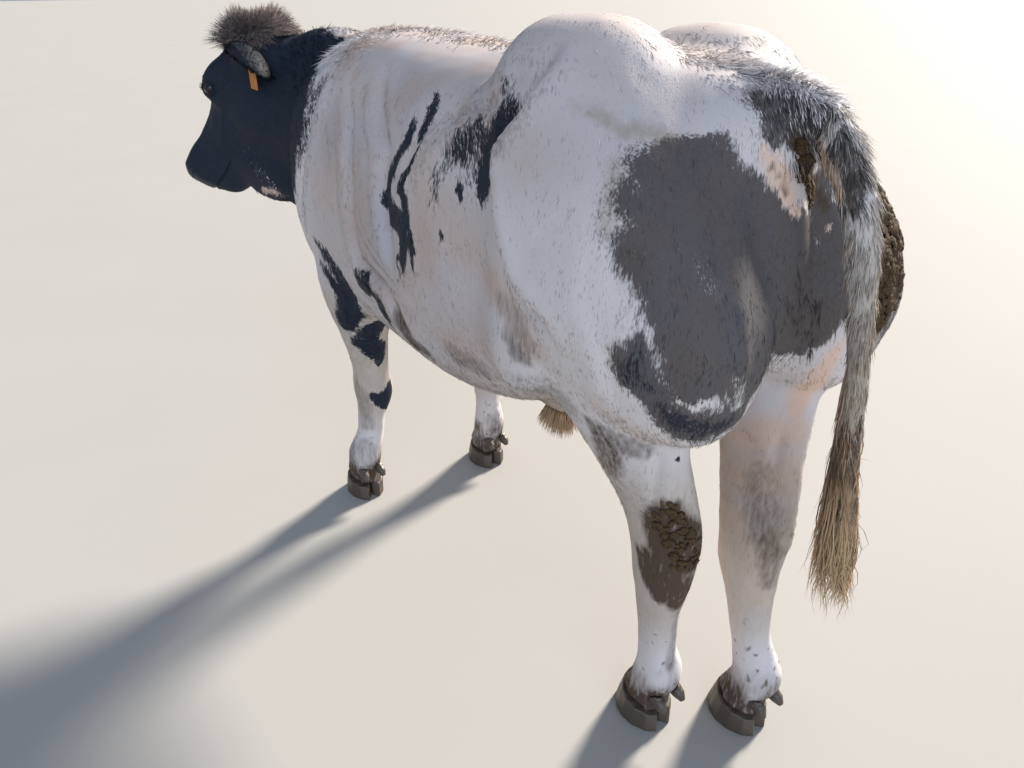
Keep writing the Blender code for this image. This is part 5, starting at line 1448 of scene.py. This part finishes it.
def buildPoll():
    rng = np.random.default_rng(coatValues["seed"] + 20)
    turn = np.array(Matrix.Rotation(math.radians(headValues["turn"]), 3, "Z"))
    count = pollValues["strands"]
    disc = spread(rng, count)
    middle = np.array(headValues["poll"]) + shiftRow
    flat = discPoints(disc, pollValues["radii"], pollValues["back"], 0.0)
    place = castOn(flat @ turn.T + middle + (0, 0, 0.12), (0, 0, -1))
    away = flat[:, :2] - np.array(pollValues["whorl"])
    far = np.linalg.norm(away, axis=1)
    swirl = away * 0.92 + np.stack([-away[:, 1], away[:, 0]], axis=1) * 0.38
    lie = np.concatenate([unit(swirl), np.zeros((count, 1))], axis=1) @ turn.T
    up = np.tile((0.0, 0.0, 1.0), (count, 1))
    lie = flatten(lie + rng.normal(0, 0.32, (count, 3)), up)
    share = np.clip(far / 0.085, 0, 1)
    clump = softNoise(place, .011, 61)
    toFront = np.clip(-away[:, 1] / 0.075, 0, 1)
    toBack = np.clip(away[:, 1] / 0.075, 0, 1)
    nape = smoothStep(0.050, 0.085, away[:, 1])
    brow = smoothStep(0.045, 0.070, -away[:, 1])
    toSide = smoothStep(0.020, 0.070, np.abs(away[:, 0])) * (1 - 0.3 * toFront)
    length = 0.66 + 0.30 * share + 0.42 * toFront + 0.34 * toBack - 0.38 * toSide - 0.55 * nape + 0.16 * clump
    length *= pollValues["length"] * rng.uniform(0.8, 1.2, count)
    lift = 76 - 10 * toFront - 30 * toBack ** 3 - 58 * toSide - 34 * nape - 24 * brow + 12 * clump
    lift = np.radians(np.clip(lift + rng.normal(0, 9, count), 14, 80))
    bend = 0.10 + 0.04 * toFront + 0.34 * toSide + 0.10 * toBack + 0.12 * brow + rng.normal(0, 0.04, count)
    width = pollValues["width"] * rng.uniform(0.7, 1.3, count)
    shape = tuftShape([k / 6 for k in range(1, 6)])
    wave = randomWave(rng, count, (0.04, 0.11), (0.9, 1.9))
    laid = layTufts(shape, place, up, lie, length, width, lift, bend, 0.6, None, wave)

    def shade(fields, roots):
        fields.clear()
        fields["core"] = smoothStep(0.55, 0.05, share) + 0.2 * clump

    piece = coatPiece("hair_poll", shape, laid, place, up, rng, lambda roots: disc * 0.49 + 0.5,
                      pollMaterial, shade)
    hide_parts("poll_tuft")


# the tail's lower end, from its tip up
tailPath = np.array([(.008, .806, .685), (.008, .795, .735), (.008, .783, .790), (.006, .768, .900),
                     (.004, .752, 1.000)])
switchValues = {
    "strands": 2300, "clumps": 22, "top": 0.95, "end": 0.690, "width": 0.0042, "tips": (0.500, 0.640),
    "straw": ((0.34, 0.20, 0.10, 1), (0.66, 0.47, 0.27, 1)), "brown": (0.075, 0.042, 0.022, 1),
}


def buildSwitch():
    rng = np.random.default_rng(coatValues["seed"] + 21)
    count = switchValues["strands"]
    z = switchValues["top"] - (switchValues["top"] - switchValues["end"]) * rng.random(count) ** 0.75
    middle = np.stack([np.interp(z, tailPath[:, 2], tailPath[:, i]) for i in range(3)], axis=1)
    turn = rng.uniform(0, 2 * math.pi, count)
    out = np.stack([np.cos(turn), np.sin(turn), np.zeros(count)], axis=1)
    place = middle + out * 0.015 + shiftRow
    lower = smoothStep(switchValues["top"], 0.74, z)
    tip = rng.uniform(*switchValues["tips"], count)
    length = np.maximum((z - tip) * (0.30 + 0.72 * lower), 0.05) * rng.uniform(0.80, 1.05, count)
    lie = flatten(np.tile((-0.01, 0.13, -0.985), (count, 1)) + rng.normal(0, 0.03, (count, 3)), out)
    lift = np.radians(2 + 5 * lower * rng.random(count))
    bend = 0.04 + 0.07 * rng.random(count) * lower
    width = switchValues["width"] * rng.uniform(0.6, 1.3, count) * (0.6 + 0.4 * lower)
    clumps = switchValues["clumps"]
    clump = rng.integers(0, clumps, count)
    swing = rng.uniform(0.035, 0.075, clumps)[clump] + rng.normal(0, 0.010, count)
    turns = rng.uniform(1.1, 1.9, clumps)[clump]
    phase = rng.uniform(0, 6.3, clumps)[clump] + rng.normal(0, 0.30, count)
    shape = tuftShape([k / 9 for k in range(1, 9)])
    laid = layTufts(shape, place, out, lie, length, width, lift, bend, 0.6, None, (swing, turns, phase))

    def shade(fields, roots):
        fields.clear()
        fields["straw"] = smoothStep(.98, .88, z)
        fields["brown"] = np.clip(smoothStep(.95, .86, z) * (0.55 + 0.45 * softNoise(roots, .012, 62)), 0, 1)

    turned = fitBoth(turn, z)
    piece = coatPiece("hair_switch", shape, laid, place, out, rng, lambda roots: turned,
                      switchMaterial, shade)
    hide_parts("tail_switch")


sheathValues = {"strands": 900, "length": 0.060, "width": 0.0030, "radii": (0.026, 0.034), "middle": 0.082}


def buildSheath():
    rng = np.random.default_rng(coatValues["seed"] + 22)
    count = sheathValues["strands"]
    disc = spread(rng, count)
    flat = discPoints(disc, sheathValues["radii"], sheathValues["middle"], 0.45)
    place = castOn(flat + shiftRow, (0, 0, 1))
    down = np.tile((0.0, 0.0, -1.0), (count, 1))
    lie = unit(np.concatenate([disc + rng.normal(0, 0.2, (count, 2)), np.zeros((count, 1))], axis=1))
    share = np.linalg.norm(disc, axis=1)
    length = sheathValues["length"] * (1.15 - 0.35 * share) * rng.uniform(0.7, 1.15, count)
    lift = np.radians(78 - 22 * share)
    bend = rng.uniform(0.0, 0.05, count)
    shape = tuftShape([0.25, 0.5, 0.75])
    wave = randomWave(rng, count, (0.02, 0.06), (0.5, 1.0))
    laid = layTufts(shape, place, down, lie, length, np.full(count, sheathValues["width"]), lift, bend, 0.6,
                    np.tile((0.0, 0.02, -0.10), (count, 1)), wave)

    def shade(fields, roots):
        fields.clear()
        fields["straw"] = np.ones(count)
        fields["brown"] = np.clip(0.35 + 0.5 * softNoise(roots, .01, 63), 0, 1)

    piece = coatPiece("hair_sheath", shape, laid, place, down, rng, lambda roots: disc * 0.49 + 0.5,
                      switchMaterial, shade)
    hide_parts("sheath_tuft")


def pollFinish():
    finish = Finish("hair_poll", Roughness=0.55, Sheen_Weight=0.1, Sheen_Roughness=0.4,
                    Specular_IOR_Level=0.3)
    tone, along, core = (finish.field(name) for name in ("tone", "along", "core"))
    colour = finish.mix((tone * 0.9 + along * 0.5 - 0.35).held(), *pollValues["hair"])
    finish.give("Base Color", finish.mix((core * 0.9 - along * 0.5).held(), colour, pollValues["core"]))
    return finish.material


def switchFinish():
    finish = Finish("hair_straw", Roughness=0.5, Sheen_Weight=0.15, Sheen_Roughness=0.4)
    tone, along, brown = (finish.field(name) for name in ("tone", "along", "brown"))
    colour = finish.mix((tone * 0.8 + along * 0.3).held(), *switchValues["straw"])
    height = finish.node("SeparateXYZ", None, 2, Vector=finish.objectPlace())
    dark = (brown * 1.1 + (height - 0.69) * 4.5 - 0.35 + (tone - 0.5) * 0.9).held()
    colour = finish.mix(dark, colour, switchValues["brown"])
    colour = finish.mix(((1.0 - finish.field("straw")) * 0.9).held(), colour, hairColours["cream"])
    finish.give("Base Color", colour)
    return finish.material


fluffValues = {"tufts": 12500, "length": 0.030, "width": 0.0021}


def buildFluff():  # longer hair that breaks the outline: crest, back, loin, tail's root and the tail itself
    rng = np.random.default_rng(coatValues["seed"] + 23)

    def amount(middle, normal):
        bull, head = toBull(middle), toHead(middle)
        x, y, z = bull.T
        value = 0.35 * smoothStep(.11, .02, np.abs(x)) * smoothStep(1.20, 1.27, z) * smoothStep(.52, .40, y)
        crest = smoothStep(.22, .05, np.abs(x - .08)) * smoothStep(1.16, 1.25, z)
        crest *= window(y, (-.40, -.55), (-.95, -.80))
        tailHead = smoothStep(.095, .045, np.abs(x)) * smoothStep(.36, .47, y) * smoothStep(1.195, 1.245, z)
        tail = (np.abs(x) < .06) * smoothStep(.63, .67, y) * (z > .80) * 1.6
        beard = 0.5 * smoothStep(.06, .0, np.abs(head[:, 0])) * smoothStep(-.18, -.22, head[:, 2])
        beard *= smoothStep(-.45, -.40, head[:, 1]) * (head[:, 1] < .02)
        value = np.maximum.reduce([value, 0.9 * crest, 2.2 * tailHead, tail, beard * 0.6])
        value[(head[:, 1] < 0.02) & (head[:, 2] > -.15) & (np.abs(head[:, 0]) < .2)] = 0
        return value

    place, normal = growRoots(rng, fluffValues["tufts"], amount, skin.data)
    bull, head = toBull(place), toHead(place)
    lie = unit(hairLie(place, normal) + rng.normal(0, 0.10, place.shape))
    onTail = (np.abs(bull[:, 0]) < .06) & (bull[:, 1] > .64)
    onHead = (head[:, 1] < 0.04) & (np.abs(head[:, 0]) < .2) & (head[:, 2] > -.35)
    root = smoothStep(.40, .50, bull[:, 1]) * (bull[:, 2] > 1.17) * ~onTail
    crown = smoothStep(.050, .012, np.abs(bull[:, 0] + .004))
    lie[:, 1] += 0.6 * root
    lie = flatten(lie, normal)
    clump = softNoise(place, .016, 64)
    length = fluffValues["length"] * (0.85 + 0.25 * clump + root * (0.55 * crown - 0.30) + 0.05 * onTail)
    length *= rng.uniform(0.65, 1.2, len(place))
    length[onHead] *= 0.7
    lift = 20 + 12 * clump + root * (26 * crown - 8) - 6 * onTail + rng.normal(0, 5, len(place))
    lift = np.radians(np.clip(lift, 5, 60))
    bend = rng.uniform(0.06, 0.22, len(place))
    shape = tuftShape([0.45])
    width = fluffValues["width"] * rng.uniform(0.7, 1.2, len(place))
    wave = randomWave(rng, len(place), (0.0, 0.05), (0.5, 1.0))
    laid = layTufts(shape, place, normal, lie, length, width, lift, bend, 0.6, None, wave)

    def shade(fields, roots):
        fields["warm"] = np.maximum(fields["warm"] * (1 - 0.8 * root), (0.30 + 0.35 * clump) * onTail)
        fields["dark"] *= 1 - root * (0.25 + 0.7 * crown)
        fields["grey"] *= 1 - root * (0.10 + 0.85 * crown)
        fields["warm"] = np.maximum(fields["warm"], 0.75 * onTail * smoothStep(1.12, 1.0, bull[:, 2]))
        fields["smear"] = np.maximum(fields["smear"], 0.42 * onTail)

    piece = coatPiece("coat_ridge", shape, laid, place, normal * 0.8, rng, trunkUnwrap, tuftMaterial, shade)


lashValues = {"upper": 70, "lower": 24, "length": 0.011, "width": 0.0008}


def buildLashes():
    rng = np.random.default_rng(coatValues["seed"] + 24)
    slant = math.radians(lidValues["slant"])
    forward = np.array((0, -math.cos(slant), math.sin(slant)))
    upward = np.array((0, math.sin(slant), math.cos(slant)))
    ahead, above = lidValues["middle"]
    places, normals, lies, lengths = [], [], [], []
    for word, side in sides.items():
        for lid, sign, size, high in (("upper", 1, 1.0, 0.0112), ("lower", -1, 0.6, 0.0092)):
            count = lashValues[lid]
            turn = np.radians(rng.uniform(18, 162, count))
            u = lidValues["halfLength"] * 1.08 * np.cos(turn) + ahead
            v = sign * high * 1.08 * np.sin(turn) + above
            flat = u[:, None] * forward + v[:, None] * upward
            room = (eyeValues["radius"] + 0.0040) ** 2 - (flat ** 2).sum(axis=1)
            outward = np.sqrt(np.maximum(room, 0.00002))
            local = flat + outward[:, None] * np.array((side, 0, 0))
            places.append(local @ headAxes.T + np.array(eyeCentres[word]))
            away = unit(local)
            normals.append(away @ headAxes.T)
            lie = sign * upward + forward * (np.cos(turn) * 0.5)[:, None] + rng.normal(0, 0.08, (count, 3))
            lies.append(flatten(lie, away) @ headAxes.T)
            reach = size * rng.uniform(0.75, 1.1, count) * (0.7 + 0.3 * np.sin(turn))
            lengths.append(lashValues["length"] * reach)
    place, normal, lie, length = (np.concatenate(v) for v in (places, normals, lies, lengths))
    shape = tuftShape([0.33, 0.66])
    laid = layTufts(shape, place, normal, lie, length, np.full(len(place), lashValues["width"]),
                    np.full(len(place), math.radians(52)), np.full(len(place), -0.18), 0.8)

    def shade(fields, roots):
        fields.clear()
        fields["core"] = np.full(len(place), 1.3)

    turned = fitBoth(place[:, 0], place[:, 2])
    piece = coatPiece("hair_lashes", shape, laid, place, normal, rng, lambda roots: turned,
                      pollMaterial, shade)


clodValues = {
    "count": 620, "size": (0.0022, 0.0085), "dung": ((0.014, 0.010, 0.007, 1), (0.120, 0.074, 0.034, 1)),
}


def buildClods():  # dung dried into the coat of the haunch and hock and below the tail
    rng = np.random.default_rng(coatValues["seed"] + 25)

    def amount(middle, normal):
        bull = toBull(middle)
        value = np.zeros(len(middle))
        for path, reach, share, _ in clodPaths:
            value = np.maximum(value, share * smoothStep(reach, reach * 0.5, lineDistance(bull, path)[0]))
        return value

    place, normal = growRoots(rng, clodValues["count"], amount, skin.data)
    bm = bmesh.new()
    bmesh.ops.create_icosphere(bm, subdivisions=2, radius=1)
    points, faces = shapeOf(bm)
    size = rng.uniform(*clodValues["size"], len(place)) * rng.uniform(0.6, 1.0, len(place))
    lie = unit(np.cross(normal, rng.normal(0, 1, place.shape)))
    across = np.cross(lie, normal)
    rough = 1 + 0.75 * np.stack([softNoise(points + 9.0 * k, 0.6, 65) for k in range(len(place))])
    scaled = points[None, :, :] * rough[:, :, None] * size[:, None, None]
    laid = place[:, None, :] + lie[:, None, :] * scaled[:, :, :1] * 1.5
    laid += across[:, None, :] * scaled[:, :, 1:2]
    laid += normal[:, None, :] * (scaled[:, :, 2:] * 0.42 + 0.0020)
    finish = Finish("clod_dry", Roughness=0.85, Specular_IOR_Level=0.25)
    grain = finish.noise(finish.objectPlace(), 0.003, 3.0)
    finish.give("Base Color", finish.mix((grain * 1.6 - 0.3).held(), *clodValues["dung"]))
    finish.bump(grain, 0.6, 0.0015)
    piece = coatPiece("clods_haunch", ((points + 1) / 2, faces), laid, place, normal, rng, trunkUnwrap,
                      finish.material, lambda fields, roots: fields.clear())


switchMaterial = switchFinish()
pollMaterial = pollFinish()
buildPoll()
buildSwitch()
buildSheath()
buildFluff()
buildLashes()
buildClods()
print("long hair done")


# studio; the focal length is in pixels of a picture 1024 wide
cameraValues = {"place": (1.01, 1.28, 1.45), "heading": (-0.588, -0.809), "pitch": 28.0, "focal": 770.0}
studioValues = {
    "floor": ((0.36, 0.36, 0.355, 1), (0.39, 0.39, 0.385, 1)), "sky": (0.76, 0.85, 1.0, 1),
    "skyStrength": 0.46,
    "lights": {
        "key": {"from": (-1.0, -0.20, 0.55), "angle": 10, "power": 9.3, "colour": (1.0, 0.89, 0.76)},
        "fill": {"from": (0.42, 1.0, 0.22), "angle": 60, "power": 1.95, "colour": (0.70, 0.83, 1.0)},
    },
}


def buildStudio():
    camera = bpy.data.objects.new("camera", bpy.data.cameras.new("camera"))
    bpy.context.scene.collection.objects.link(camera)
    camera.data.sensor_width = 36
    camera.data.lens = 36 * cameraValues["focal"] / 1024
    camera.location = Vector(cameraValues["place"]) + shift
    pitch = math.radians(cameraValues["pitch"])
    heading = Vector(cameraValues["heading"]).normalized()
    ahead = Vector((heading.x * math.cos(pitch), heading.y * math.cos(pitch), -math.sin(pitch)))
    camera.rotation_euler = ahead.to_track_quat("-Z", "Y").to_euler()
    bpy.context.scene.camera = camera
    camera.data.clip_start = 0.05

    bm = bmesh.new()
    bmesh.ops.create_grid(bm, x_segments=1, y_segments=1, size=60)
    floor = addObject("floor", meshOf("floor", bm))
    finish = Finish("pale_floor", Roughness=0.85)
    patches = finish.noise(finish.objectPlace(), 0.8, 4.0)
    finish.give("Base Color", finish.mix(patches, *studioValues["floor"]))
    floor.data.materials.append(finish.material)

    world = bpy.data.worlds.new("studio")
    bpy.context.scene.world = world
    world.use_nodes = True
    background = world.node_tree.nodes["Background"]
    background.inputs["Color"].default_value = studioValues["sky"]
    background.inputs["Strength"].default_value = studioValues["skyStrength"]
    for name, values in studioValues["lights"].items():
        light = bpy.data.objects.new(name, bpy.data.lights.new(name, "SUN"))
        light.data.angle = math.radians(values["angle"])
        light.data.energy = values["power"]
        light.data.color = values["colour"]
        light.location = Vector(values["from"]) * 4
        light.rotation_euler = (-light.location).to_track_quat("-Z", "Y").to_euler()
        bpy.context.scene.collection.objects.link(light)
    bpy.context.scene.view_settings.view_transform = "Standard"


buildStudio()
